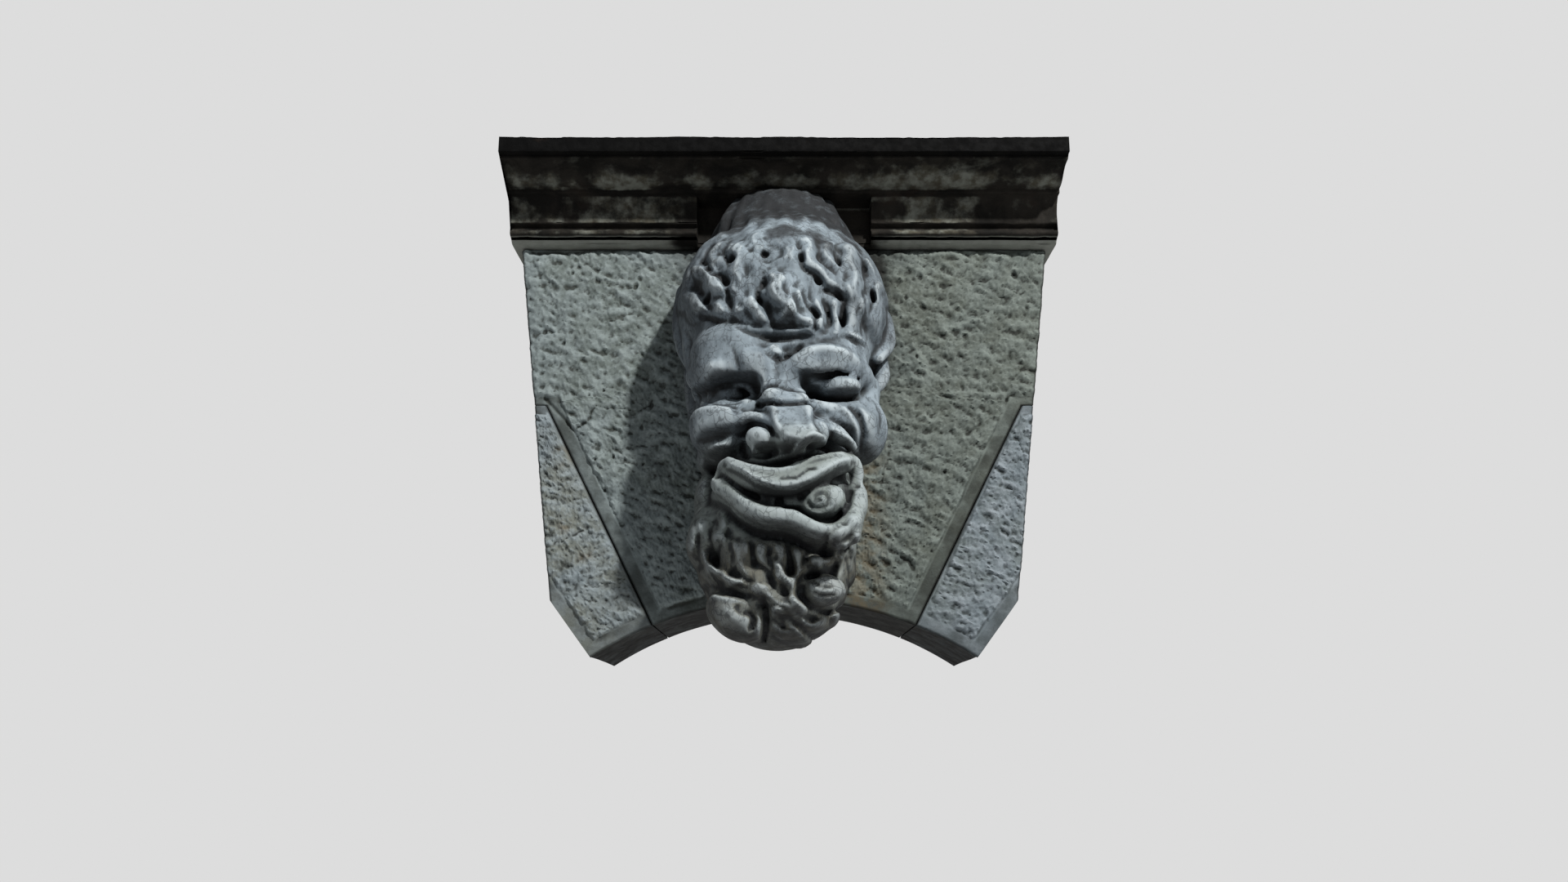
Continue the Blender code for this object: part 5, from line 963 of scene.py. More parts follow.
def stone_mesh(name, places, relief, side, inside, soot_and_shade, ochre):
    """A closed stone: a carved front, sides that go straight back and a plainer back."""
    relief = relief.reshape(places.shape[:2])
    # The hollow mark carries painted shade and painted highlight; soot carries dirt beside the head
    marks = {"hollow_shade": hollow_shade_of(relief), "soot_and_shade": soot_and_shade, "ochre": ochre}
    # edge: darker in the sunken margins and down the panel's edge, dirt with painted shade
    marks["edge"] = ease(inside, -0.001, -0.004)
    rows, columns = relief.shape
    front = np.dstack([side * places[..., 0], relief - WALL_FACE, places[..., 1]])
    rim = loop_of(rows, columns)
    rim_points = np.array([front[i, j] for i, j in rim])
    points = [front.reshape(-1, 3)]
    faces = grid_faces(rows, columns)
    ring = [i * columns + j for i, j in rim]
    count = rows * columns
    for share in SIDE_RINGS:
        deeper = rim_points.copy()
        deeper[:, 1] = -WALL_DEPTH * share
        inward = SIDE_WEAR * (1 + noise(deeper, 0.02, 3))
        inward = inward + SIDE_GRAIN * (1 + noise(deeper, 0.006, 4))
        middle = deeper.mean(0)
        pull = (middle - deeper) * (1, 0, 1)
        deeper += pull / np.linalg.norm(pull, axis=1)[:, None] * inward[:, None]
        points.append(deeper)
        fresh = list(range(count, count + len(rim)))
        count += len(rim)
        faces += [[ring[k - 1], fresh[k - 1], fresh[k], ring[k]] for k in range(len(rim))]
        ring = fresh
    back = places[::THIN_OUT, ::THIN_OUT]
    back_rows, back_columns = back.shape[:2]
    flat = np.dstack([side * back[..., 0], np.zeros(back.shape[:2]), back[..., 1]])
    wear = BACK_WEAR * (1 + noise(flat.reshape(-1, 3), 0.03, 5))
    flat[..., 1] = -wear.reshape(back_rows, back_columns)
    points.append(flat.reshape(-1, 3))
    faces += grid_faces(back_rows, back_columns, count, flip=True)
    back_rim = [count + i * back_columns + j for i, j in loop_of(back_rows, back_columns)]
    for k, place in enumerate(back_rim):
        span = [ring[(THIN_OUT * (k - 1) + n) % len(ring)] for n in range(THIN_OUT + 1)]
        faces.append(span[::-1] + [back_rim[k - 1], place])
    count += back_rows * back_columns
    if side < 0:
        faces = [face[::-1] for face in faces]
    points = np.vstack(points)
    # Behind the front: the arch's underside darkened (soot) and the sides darker deeper in (edge), both
    # painted shade.
    behind = points[relief.size:]
    arch_gap = arch_gap_at(behind[:, 0], behind[:, 2])
    plainer = {"soot_and_shade": ease(arch_gap, 0.012, 0.005), "edge": 0.7 * ease(behind[:, 1], -0.02, -0.06)}
    for mark in marks:
        marks[mark] = np.concatenate([marks[mark].ravel(), plainer.get(mark, 0.3 + 0 * arch_gap)])
    return make_piece(name, points, faces, marks)


# The carved faces of the stones
def soot_near_head(x, z):
    """Black dirt where rain runs down beside the head and under the cornice."""
    high = ease(z, 0.245, 0.285) * ease(abs(x), 0.20, 0.13)
    run = ease(abs(x), 0.160, 0.130) * ease(z, 0.04, 0.14)
    return np.maximum(high, run * np.where(x > 0, 1.0, 0.5))


def rough_face(x, z, seed, turn, long, short):
    """Depth of the pecked work below its highest crests."""
    cos, sin = cos_sin(turn)
    lie = np.zeros_like(x)
    plain = np.column_stack([x, z, lie])
    bend = 0.006 * rough(plain, 0.05, seed + 1, 2)
    grain = np.column_stack([(x * cos + z * sin) / long, (z * cos - x * sin + bend) / short, lie])
    lumps = LUMP_DEPTH * (1 + rough(grain, 0.75, seed, 4, 0.70))
    crests = CREST_DEPTH * ridges(grain, 0.9, seed + 6, 3)
    bowls = BOWL_DEPTH * (1 - np.minimum(dents(plain + bend[:, None], 0.014, seed), 1))
    swell = SWELL_DEPTH * (1 + noise(plain, 0.060, seed + 2))
    fine = GRAIN_DEPTH * (1 + rough(plain, 0.005, seed + 3, 2))
    return lumps + crests + bowls + swell + fine


def carve_face(x, z, inside, rim, seed, turn, long, short):
    """How far the face lies behind the front plane: a raised panel inside smooth margins."""
    plain = np.column_stack([x, z, np.zeros_like(x)])
    edge = inside + 0.0016 * rough(plain, 0.03, seed + 4, 3) + 0.0006 * noise(plain, 0.006, seed)
    panel = rough_face(x, z, seed, turn, long, short)
    panel = panel + RIM_DROP * np.exp(-np.maximum(edge, 0) / 0.004)
    smooth = BOSS_HEIGHT + MARGIN_WAVE * (1 + rough(plain, 0.02, seed + 5, 3))
    drop = ease(edge, 0.0022, -0.0014)
    worn = EDGE_CHIP * np.exp(-rim / 0.0016) + EDGE_ROUND * np.exp(-rim / 0.005)
    return panel * (1 - drop) + smooth * drop + worn


def crack(x, z, path, width, depth, seed):
    """A wandering crack along a line of points."""
    plain = np.column_stack([x, z, np.zeros_like(x)])
    wander = CRACK_WANDER * rough(plain, 0.02, seed, 3)
    gap = line_distance(x + wander, z + wander, path)
    return CRACK_SHARE * depth * np.exp(-(gap / width) ** 2)


def pits(x, z, spots, depth):
    total = np.zeros_like(x)
    for spot_x, spot_z, radius in spots:
        gap = np.hypot((x - spot_x), (z - spot_z) * 0.8) / (PIT_SHARE * radius)
        total += depth * np.exp(-gap ** 4)
    return total


def flawed(relief, x, z, seed, cracks, spots, pit_depth):
    """The relief with its cracks and pits."""
    for path, width, depth in cracks:
        relief = relief + crack(x, z, path, width, depth, seed)
    return relief + pits(x, z, spots, pit_depth)


LEFT_CRACKS = [
    ([(0.322, 0.062), (0.277, 0.014), (0.251, 0.050)], 0.0022, 0.0040),
    ([(0.251, 0.050), (0.196, 0.044), (0.178, 0.060)], 0.0016, 0.0030),
    ([(0.351, 0.262), (0.339, 0.236)], 0.0018, 0.0022),
    ([(0.255, 0.262), (0.262, 0.232)], 0.0010, 0.0016),
]
LEFT_PITS = [
    (0.293, 0.243, 0.0034), (0.205, 0.222, 0.0046), (0.262, 0.066, 0.0022), (0.243, 0.072, 0.0022),
    (0.178, 0.052, 0.0042), (0.300, 0.140, 0.0030), (0.327, 0.156, 0.0040), (0.226, -0.020, 0.0024),
    (0.250, -0.024, 0.0020), (0.186, -0.030, 0.0026), (0.190, 0.020, 0.0040), (0.236, -0.064, 0.0030),
]
RIGHT_CRACKS = [
    ([(0.243, 0.010), (0.262, 0.026)], 0.0018, 0.0030),
    ([(0.138, -0.146), (0.158, -0.158), (0.166, -0.170)], 0.0036, 0.0044),
    ([(0.140, 0.000), (0.128, -0.060)], 0.0016, 0.0024),
    ([(0.300, 0.080), (0.330, 0.110)], 0.0016, 0.0022),
]
RIGHT_PITS = [
    (0.168, 0.206, 0.0034), (0.247, 0.150, 0.0050), (0.334, 0.190, 0.0040), (0.300, 0.060, 0.0030),
    (0.152, 0.020, 0.0040), (0.212, -0.040, 0.0030), (0.180, 0.120, 0.0030), (0.320, 0.240, 0.0060),
]
FOOT_CRACKS_LEFT = [([(0.330, -0.142), (0.300, -0.139), (0.262, -0.118)], 0.0016, 0.0030)]
FOOT_PITS_LEFT = [(0.306, -0.125, 0.0090), (0.285, -0.166, 0.0090), (0.316, -0.044, 0.0060),
                  (0.302, -0.036, 0.0040)]
FOOT_CRACKS_RIGHT = [([(0.300, 0.020), (0.318, -0.010), (0.322, -0.080)], 0.0014, 0.0020),
                     ([(0.236, -0.130), (0.243, -0.190), (0.262, -0.235)], 0.0012, 0.0018)]
FOOT_PITS_RIGHT = [(0.330, 0.030, 0.0050), (0.300, -0.196, 0.0060)]
# Rusty spots on the left voussoir: x, z, radius
STAINS = [(0.292, -0.017, 0.014), (0.257, -0.152, 0.010), (0.286, -0.114, 0.009)]


def stains(x, z):
    total = np.zeros_like(x)
    for spot_x, spot_z, radius in STAINS:
        gap = np.hypot(x - spot_x, z - spot_z) / radius
        total = np.maximum(total, np.exp(-gap ** 2))
    return total


def build_haunch(name, side, seed, turn, cracks, spots):
    low = KEY_HALF_BOTTOM + GAP
    corner = (float(joint_x(BED_JOINT_Z + GAP, -GAP)), BED_JOINT_Z + GAP)
    bottom = arch_line(low, JOINT_HALF_BOTTOM - GAP)
    right = [bottom[-1], corner, (float(side_x(BED_JOINT_Z)), BED_JOINT_Z + GAP),
             (WALL_HALF_TOP, WALL_TOP_Z)]
    left = [bottom[0], (KEY_HALF_TOP + GAP, WALL_TOP_Z)]
    places = patch(bottom, right, left, HAUNCH_GRID)
    x, z = places[..., 0].ravel(), places[..., 1].ravel()
    arch_gap = arch_gap_at(x, z)
    joint_gap = joint_x(z) - x
    bed_gap = z - BED_JOINT_Z
    inside = np.maximum(joint_gap - JOINT_MARGIN, bed_gap - BED_MARGIN)
    inside = np.minimum(inside, arch_gap - ARCH_MARGIN)
    ragged = 0.004 * noise(places.reshape(-1, 2)[:, [0, 1, 1]], 0.02, 6)
    inside = np.minimum(inside, WALL_TOP_Z - TOP_MARGIN - z + ragged)
    rim = np.minimum(arch_gap, np.maximum(joint_gap * 0.88, bed_gap))
    rim = np.minimum(rim, side_x(z) - x)
    relief = carve_face(x, z, inside, rim, seed, turn, *HAUNCH_LUMPS)
    relief = flawed(relief, x, z, seed, cracks, spots, HAUNCH_PITS)
    soot_and_shade = np.maximum(soot_near_head(side * x, z), 0.8 * ease(rim, 0.0034, 0.0012))
    ochre = ease(x, 0.15, 0.10) * ease(z, 0.06, -0.02) * (side > 0)
    return stone_mesh(name, places, relief, side, inside, soot_and_shade, ochre)


def build_voussoir(name, side, seed, turn, cracks, spots):
    bottom = arch_line(JOINT_HALF_BOTTOM + GAP, FOOT_HALF)
    corner = (float(side_x(BED_OUTER_Z)), BED_OUTER_Z)
    right = [bottom[-1], corner, (float(side_x(BED_JOINT_Z)), BED_JOINT_Z)]
    left = [bottom[0], (float(joint_x(BED_JOINT_Z, GAP)), BED_JOINT_Z)]
    places = patch(bottom, right, left, VOUSSOIR_GRID)
    x, z = places[..., 0].ravel(), places[..., 1].ravel()
    arch_gap = arch_gap_at(x, z)
    joint_gap = x - joint_x(z)
    foot = np.array(bottom[-1])
    run = np.array(corner) - foot
    foot_gap = ((z - foot[1]) * run[0] - (x - foot[0]) * run[1]) / np.hypot(*run)
    inside = np.minimum(arch_gap - ARCH_MARGIN, joint_gap - VOUSSOIR_MARGIN)
    inside = np.minimum(inside, foot_gap - ARCH_MARGIN)
    inside = np.minimum(inside, BED_JOINT_Z - BED_MARGIN - z)
    rim = np.minimum(arch_gap, np.minimum(joint_gap, side_x(z) - x))
    relief = carve_face(x, z, inside, rim, seed, turn, *VOUSSOIR_LUMPS)
    relief = flawed(relief, x, z, seed, cracks, spots, VOUSSOIR_PITS)
    soot_and_shade = 0.7 * ease(rim, 0.0030, 0.0012)
    return stone_mesh(name, places, relief, side, inside, soot_and_shade, stains(x, z) * (side < 0))


# The cornice
# Washed patches along the cyma: middle, half its length, how pale
CYMA_PATCHES = [(-0.335, 0.032, 0.9), (-0.216, 0.032, 1.0), (-0.114, 0.016, 0.8), (-0.011, 0.054, 1.0),
                (0.120, 0.030, 0.35), (0.235, 0.050, 0.45), (0.350, 0.020, 0.9)]


def cornice_profile():
    """(out, z) from the foot of the moulding up to its crown."""
    low, top = WALL_TOP_Z + GAP, WALL_TOP_Z + GAP + CORNICE_HEIGHT
    profile = [(0.0, low), (FOOT_OUT, low), (GROOVE_OUT, top - BEAD_DROP)]
    middle = top - (BEAD_DROP + GROOVE_DROP) / 2
    half = (BEAD_DROP - GROOVE_DROP) / 2
    for angle in np.linspace(-math.pi / 2, math.pi / 2, CURVE_STEPS):
        out = GROOVE_OUT + (BEAD_OUT - GROOVE_OUT) * math.cos(angle)
        profile.append((out, middle + half * math.sin(angle)))
    profile.append((GROOVE_OUT, top - COVE_DROP - (GROOVE_DROP - COVE_DROP) / 2))
    for angle in np.linspace(0, math.pi / 2, CURVE_STEPS):
        out = COVE_FOOT_OUT + (COVE_TOP_OUT - COVE_FOOT_OUT) * (1 - math.cos(angle))
        profile.append((out, top - COVE_DROP + (COVE_DROP - SOFFIT_DROP) * math.sin(angle)))
    profile += [(EDGE_OUT, top - SOFFIT_DROP), (EDGE_OUT, top - EDGE_DROP)]
    for share in np.linspace(0, 1, CURVE_STEPS):
        rise = share - math.sin(2 * math.pi * share) / (2 * math.pi) * CYMA_SWING
        out = EDGE_OUT + CYMA_STEP + (CYMA_OUT - EDGE_OUT - CYMA_STEP) * share
        profile.append((out, top - EDGE_DROP + (EDGE_DROP - FILLET_DROP) * rise))
    profile += [(FILLET_OUT, top - FILLET_DROP), (FILLET_OUT, top - CROWN_DROP)]
    profile += [(CROWN_OUT, top - CROWN_DROP), (CROWN_OUT, top)]
    return profile


def filled(path, spacing):
    """The same line with more points on its long stretches."""
    made = [path[0]]
    for start, end in zip(path[:-1], path[1:]):
        count = max(1, round(math.dist(start, end) / spacing))
        made += [tuple(np.array(start) + (np.array(end) - start) * n / count) for n in range(1, count + 1)]
    return np.array(made)


def build_cornice():
    profile = filled(cornice_profile(), PROFILE_SPACING)
    top_z = profile[-1, 1]
    shelf = filled([(CROWN_OUT, top_z), (-WALL_FACE, top_z)], SHELF_SPACING)[1:]
    low_z = profile[0, 1]
    back = filled([(-WALL_FACE, top_z), (-WALL_FACE, low_z), (0.0, low_z)], BACK_SPACING)[1:-1]
    section = np.vstack([profile, shelf, back])
    around = np.roll(section, -1, 0) - np.roll(section, 1, 0)
    outward = np.column_stack([around[:, 1], -around[:, 0]])
    outward /= np.maximum(np.hypot(*outward.T), 1e-9)[:, None]
    before, after = section - np.roll(section, 1, 0), np.roll(section, -1, 0) - section
    turn = before[:, 0] * after[:, 1] - before[:, 1] * after[:, 0]
    turn /= np.hypot(*before.T) * np.hypot(*after.T)
    sharp = np.clip(turn, 0, 1)
    columns = np.linspace(-CORNICE_HALF, CORNICE_HALF, CORNICE_COLUMNS)
    steps = [side * (NOTCH_HALF + off) for side in (-1, 1) for off in (-NOTCH_EDGE, NOTCH_EDGE)]
    columns = np.sort(np.concatenate([columns, steps]))
    soffit = WALL_TOP_Z + GAP + CORNICE_HEIGHT - SOFFIT_DROP
    low = section[:, 1] < soffit - 0.0002
    front = np.arange(len(section)) < len(profile)
    grid_x, grid_s = np.meshgrid(columns, np.arange(len(section)), indexing="ij")
    out, z = section[grid_s, 0], section[grid_s, 1]
    notch = (np.abs(grid_x) < NOTCH_HALF) & (low & front)[grid_s]
    out = np.where(notch, np.minimum(out, 0), out)
    spots = np.column_stack([grid_x.ravel(), out.ravel(), z.ravel()])
    wear = CORNICE_WEAR * (1 + rough(spots, 0.06, 1, 3))
    wear = wear + CORNICE_GRAIN * (1 + rough(spots, 0.008, 4, 2))
    bites = ease(noise(spots, 0.045, 5) + 0.5 * noise(spots, 0.012, 2), 0.25, 0.9)
    soft = sharp[grid_s].ravel()
    wear = wear + soft * (ARRIS_WEAR + BITE_DEPTH * bites)
    move = np.where(notch.ravel()[:, None], (1.0, 0.0), outward[grid_s].reshape(-1, 2))
    out = out.ravel() - move[:, 0] * wear
    z = z.ravel() - move[:, 1] * wear
    z = np.where(grid_s.ravel() >= len(profile) + len(shelf), np.clip(z, low_z, top_z), z)
    points = np.column_stack([grid_x.ravel(), -WALL_FACE - out, z])
    points[:, 1] = np.minimum(points[:, 1], 0)
    count = len(section)
    index = np.arange(len(points)).reshape(-1, count)
    ahead = np.roll(index, -1, 1)
    quads = np.stack([index[:-1], index[1:], ahead[1:], ahead[:-1]], 2).reshape(-1, 4)
    faces = quads.tolist() + [index[0].tolist(), index[-1][::-1].tolist()]
    height = (spots[:, 2] - low_z) / CORNICE_HEIGHT
    marks = {"height": height, "pale": pale_on_cornice(spots, height), "hollow_shade": 0 * height}
    return make_piece("cornice_carved", points, faces, marks)


def pale_on_cornice(spots, height):
    """Where the black crust has washed off: low on the cyma, low on the cove, the bead and the foot."""
    x = spots[:, 0]
    edge, fillet = 1 - EDGE_DROP / CORNICE_HEIGHT, 1 - FILLET_DROP / CORNICE_HEIGHT
    cyma = ease(height, edge - 0.03, edge + 0.01) * ease(height, fillet - 0.02, edge + 0.01)
    washed = sum(ease(abs(x - middle), half + 0.012, half - 0.012) * share
                 for middle, half, share in CYMA_PATCHES)
    cyma = cyma * (0.35 + 0.9 * np.minimum(washed, 1))
    band = ease(height, edge - 0.01, edge + 0.01) * ease(height, fillet + 0.01, fillet - 0.02) * 0.36
    cove = 0.60 + 0.15 * ease(height, 0.42, 0.25)
    cove = cove * ease(height, 0.225, 0.245) * ease(height, 0.545, 0.525)
    bead = ease(height, 0.06, 0.09) * ease(height, 0.21, 0.16) * 0.66
    foot = ease(height, 0.07, 0.05)
    thin = ease(abs(height - fillet - 0.02), 0.03, 0.01) * 0.25
    patchy = 0.75 + 0.5 * rough(spots * (1, 1, 0.4), 0.09, 3, 4)
    from_notch = abs(x) - NOTCH_HALF + 0.02 * rough(spots, 0.03, 6, 3)
    crusted = ease(height, 0.52, 0.46) * ease(from_notch, 0.050, 0.012)
    return np.clip(((cyma + band + cove + bead) * patchy + foot + thin) * (1 - crusted), 0, 1)


# The carved head and its wedge
def place(points):
    """From the head's units to metres."""
    across, up, out = points.T * UNIT
    return np.column_stack([across, -WALL_FACE - GAP - out, MASK_FOOT_Z + up])


def sampled(grid, low, step, points):
    """Values of a grid at places between its points, evenly carried across."""
    spot = np.clip((points - low) / step, 0, np.array(grid.shape) - 1.001)
    first = spot.astype(int)
    share = spot - first
    total = np.zeros(len(points))
    for corner in CORNERS:
        weight = np.prod(np.where(corner, share, 1 - share), axis=1)
        total += weight * grid[tuple((first + corner).T)]
    return total


def slope_of(clay, points):
    """Which way the surface faces at each place."""
    parts = []
    for axis in range(3):
        off = np.zeros(3)
        off[axis] = clay.step
        ahead = sampled(clay.value, clay.low, clay.step, points + off)
        behind = sampled(clay.value, clay.low, clay.step, points - off)
        parts.append(ahead - behind)
    return unit_rows(np.column_stack(parts))


def closeness(clay, points, reach):
    """How shut in each place is: about half on a flat face, more in a hollow."""
    stone_share = blurred((clay.value < 0).astype(np.float32), round(reach / clay.step))
    return sampled(stone_share, clay.low, clay.step, points)


def kept_piece(points, quads):
    """Drops any loose crumb that the carving left."""
    label = np.arange(len(points))
    while True:
        least = label[quads].min(1)
        fresh = label.copy()
        for corner in range(4):
            np.minimum.at(fresh, quads[:, corner], least)
        fresh = fresh[fresh]
        if (fresh == label).all():
            break
        label = fresh
    names, counts = np.unique(label, return_counts=True)
    keep = label == names[counts.argmax()]
    number = np.cumsum(keep) - 1
    return points[keep], number[quads[keep[quads[:, 0]]]]


def worn_marble(points, facing):
    """The small unevenness of weathered carving, cut in and never built up."""
    depth = 0.13 * (1 + rough(points, 3.0, 2, 4)) + 0.06 * (1 + noise(points * (2.2, 0.7, 2.2), 1.1, 5))
    in_front = np.clip(facing[:, 2], 0, 1)[:, None]
    worn = points - facing * depth[:, None] * (0.4 + 0.6 * in_front)
    worn[:, 2] -= TIP_WEAR * ease(worn[:, 2], TIP_FROM, TIP_FULL)
    return worn


def tail_block():
    """The wedge behind the head, which goes through the wall."""
    outline = arch_line(-KEY_HALF_BOTTOM, KEY_HALF_BOTTOM)
    outline += [(KEY_HALF_TOP, WALL_TOP_Z), (-KEY_HALF_TOP, WALL_TOP_Z)]
    count = len(outline)
    front = -WALL_FACE - TAIL_REACH
    points = [(x, 0.0, z) for x, z in outline] + [(x, front, z) for x, z in outline]
    faces = [list(range(count)), list(range(2 * count - 1, count - 1, -1))]
    faces += [[i, (i + 1) % count, count + (i + 1) % count, count + i] for i in range(count)]
    return points, faces


def build_head():
    clay = Clay(CLAY_LOW, CLAY_HIGH, CLAY_STEP)
    for carve in (carve_masses, carve_brows, carve_eyes, carve_cheeks, carve_nose, carve_mouth,
                  carve_beard, carve_hair, carve_crown):
        carve(clay)
    soffit = (WALL_TOP_Z + CORNICE_HEIGHT - SOFFIT_DROP - MASK_FOOT_Z) / UNIT
    clay.value = (1 - SOFTENED) * clay.value + SOFTENED * blurred(clay.value, 1)
    clay.trim(2, 0.0, -1)
    clay.trim(1, soffit, 1)
    points, quads = kept_piece(*clay.skin())
    facing = slope_of(clay, points)
    near = closeness(clay, points, NEAR_REACH)
    wide = closeness(clay, points, WIDE_REACH)
    # Painted shade by how shut in the surface is (hollow, with black crust there too; shut_in_shade) and in
    # creases; painted highlight on the crests.
    marks = {"hollow_shade": ease(near, 0.50, 0.72), "shut_in_shade": ease(wide, 0.52, 0.80)}
    marks["crest_highlight"] = 0.45 * ease(near, 0.47, 0.34) + 0.55 * ease(wide, 0.47, 0.34)
    bend = sampled(blurred(clay.value, 1) - clay.value, clay.low, clay.step, points)
    marks["crease_shade"] = ease(bend, -0.008, -0.075)
    marks["height"] = points[:, 1] / CLAY_HEIGHT
    marks["soot_and_shade"] = head_soot_and_shade(points, facing)
    free = (points[:, 2] > KEPT_EDGE) & (points[:, 1] < soffit - KEPT_EDGE)
    points = np.where(free[:, None], worn_marble(points, facing), points)
    head = make_piece("mask_carved", place(points), quads.tolist(), marks)
    block, block_faces = tail_block()
    plain = {"height": 0.5, "shut_in_shade": 0.35, "hollow_shade": 0.2, "crest_highlight": 0.0, "crease_shade": 0.0}
    tail_marks = {mark: np.full(len(block), value) for mark, value in plain.items()}
    # The tail's underside along the arch is darkened: painted shade.
    tail_marks["soot_and_shade"] = np.array([0.9 if z < WALL_TOP_Z else 0.3 for x, y, z in block])
    tail = make_piece("tail_block", block, block_faces, tail_marks)
    merge = head.modifiers.new("tail", "BOOLEAN")
    merge.operation = "UNION"
    merge.solver = "EXACT"
    merge.object = tail
    shaped = head.evaluated_get(bpy.context.evaluated_depsgraph_get())
    merged = bpy.data.meshes.new_from_object(shaped)
    head.modifiers.clear()
    head.data = merged
    bpy.data.objects.remove(tail)
    return head


def head_soot_and_shade(points, facing):
    """Dark growth on the crown and in spots on the hair, darker at the sides towards the wall, and painted
    shade on faces that turn down or turn to the left away from the light.
    """
    a, b, c = points.T
    crown = ease(b + 3.0 * rough(points, 5, 1, 4), 83.0, 87.5)
    soot_and_shade = 0.95 * crown
    for spot_a, spot_b, spot_c, radius in CROWN_SPOTS:
        gap = np.sqrt((a - spot_a) ** 2 + ((b - spot_b) * 0.7) ** 2 + (c - spot_c) ** 2)
        soot_and_shade = np.maximum(soot_and_shade, 0.85 * ease(gap + 1.6 * rough(points, 3, 2, 4), radius + 0.8, radius - 2.2))
    sides = ease(c + 2 * noise(points, 5, 3), 17, 8) * 0.75
    soot_and_shade = np.maximum(soot_and_shade, sides)
    # Painted shade on faces that turn down.
    under = ease(facing[:, 1], -0.50, -0.90) * 0.8
    dusty = ease(a, 5, 14) * ease(b, 57, 64) * (0.30 + 0.25 * rough(points, 4, 7, 3))
    soot_and_shade = np.maximum(soot_and_shade, dusty)
    temple = ease(a, -6.5, -13) * ease(c, 31, 26) * ease(b, 46, 50) * 0.35
    soot_and_shade = np.maximum(soot_and_shade, temple)
    # Painted shade on faces that turn to the left, away from the light.
    lee_shade = ease(facing[:, 0], -0.30, -0.85) * ease(c, 32, 24) * 0.55
    return np.maximum(np.maximum(soot_and_shade, lee_shade), under)


# Paint
def tone(red, green, blue):
    """A colour as seen, from 0 to 255, as the light values that a shader takes."""
    seen = np.array([red, green, blue]) / 255
    light = np.where(seen <= 0.04045, seen / 12.92, ((seen + 0.055) / 1.055) ** 2.4)
    return (*light.tolist(), 1.0)


class Paint:
    """A material built from nodes, with short calls for the nodes it uses."""

    def __init__(self, name):
        self.material = bpy.data.materials.new(name)
        self.material.use_nodes = True
        self.tree = self.material.node_tree
        self.shader = self.tree.nodes["Principled BSDF"]
        self.place = self.node("ShaderNodeTexCoord").outputs["Object"]

    def node(self, kind, inputs=None, **settings):
        made = self.tree.nodes.new(kind)
        for name, value in settings.items():
            setattr(made, name, value)
        for name, value in (inputs or {}).items():
            if isinstance(value, bpy.types.NodeSocket):
                self.tree.links.new(value, made.inputs[name])
            else:
                made.inputs[name].default_value = value
        return made

    def noise(self, scale, detail=4.0, stretch=(1, 1, 1), twist=0.0):
        """Clouds of that many a metre, made finer by the stretch on each axis."""
        where = self.node("ShaderNodeMapping", {"Vector": self.place, "Scale": stretch}).outputs["Vector"]
        inputs = {"Vector": where, "Scale": scale, "Detail": detail, "Roughness": 0.6, "Distortion": twist}
        return self.node("ShaderNodeTexNoise", inputs).outputs["Fac"]

    def cells(self, scale, feature="F1"):
        """Distances in a field of cells whose walls wander."""
        bent = self.node("ShaderNodeTexNoise", {"Vector": self.place, "Scale": 40.0}).outputs["Color"]
        bent = self.node("ShaderNodeVectorMath", {0: bent, 1: (0.02, 0.02, 0.02)}, operation="MULTIPLY")
        place = self.node("ShaderNodeVectorMath", {0: self.place, 1: bent.outputs[0]}, operation="ADD")
        inputs = {"Vector": place.outputs[0], "Scale": scale}
        return self.node("ShaderNodeTexVoronoi", inputs, feature=feature).outputs["Distance"]

    def mark(self, name):
        """The value painted on the mesh by that name."""
        return self.node("ShaderNodeAttribute", attribute_name=name).outputs["Fac"]

    def between(self, value, start, end, low=0.0, high=1.0):
        """A smooth change from low to high while the value goes from start to end."""
        inputs = {"Value": value, "From Min": start, "From Max": end, "To Min": low, "To Max": high}
        made = self.node("ShaderNodeMapRange", inputs, interpolation_type="SMOOTHSTEP")
        return made.outputs["Result"]

    def maths(self, operation, first, second):
        return self.node("ShaderNodeMath", {0: first, 1: second}, operation=operation).outputs[0]

    def mix(self, share, first, second):
        inputs = {0: share, 6: first, 7: second}
        return self.node("ShaderNodeMix", inputs, data_type="RGBA").outputs[2]

    def wash(self, colour, share, strength, other):
        """The colour, with so much of another over it where the share says."""
        return self.mix(self.maths("MULTIPLY", share, strength), colour, other)

    def bump(self, height, strength, distance, under=None):
        inputs = {"Height": height, "Strength": strength, "Distance": distance}
        if under is not None:
            inputs["Normal"] = under
        return self.node("ShaderNodeBump", inputs).outputs["Normal"]

    def finish(self, piece, colour, roughness, normal, gloss):
        """Joins the parts to the shader and lays the material on the piece."""
        for name, source in (("Base Color", colour), ("Roughness", roughness), ("Normal", normal)):
            self.tree.links.new(source, self.shader.inputs[name])
        self.shader.inputs["Specular IOR Level"].default_value = gloss
        piece.data.materials.clear()
        piece.data.materials.append(self.material)


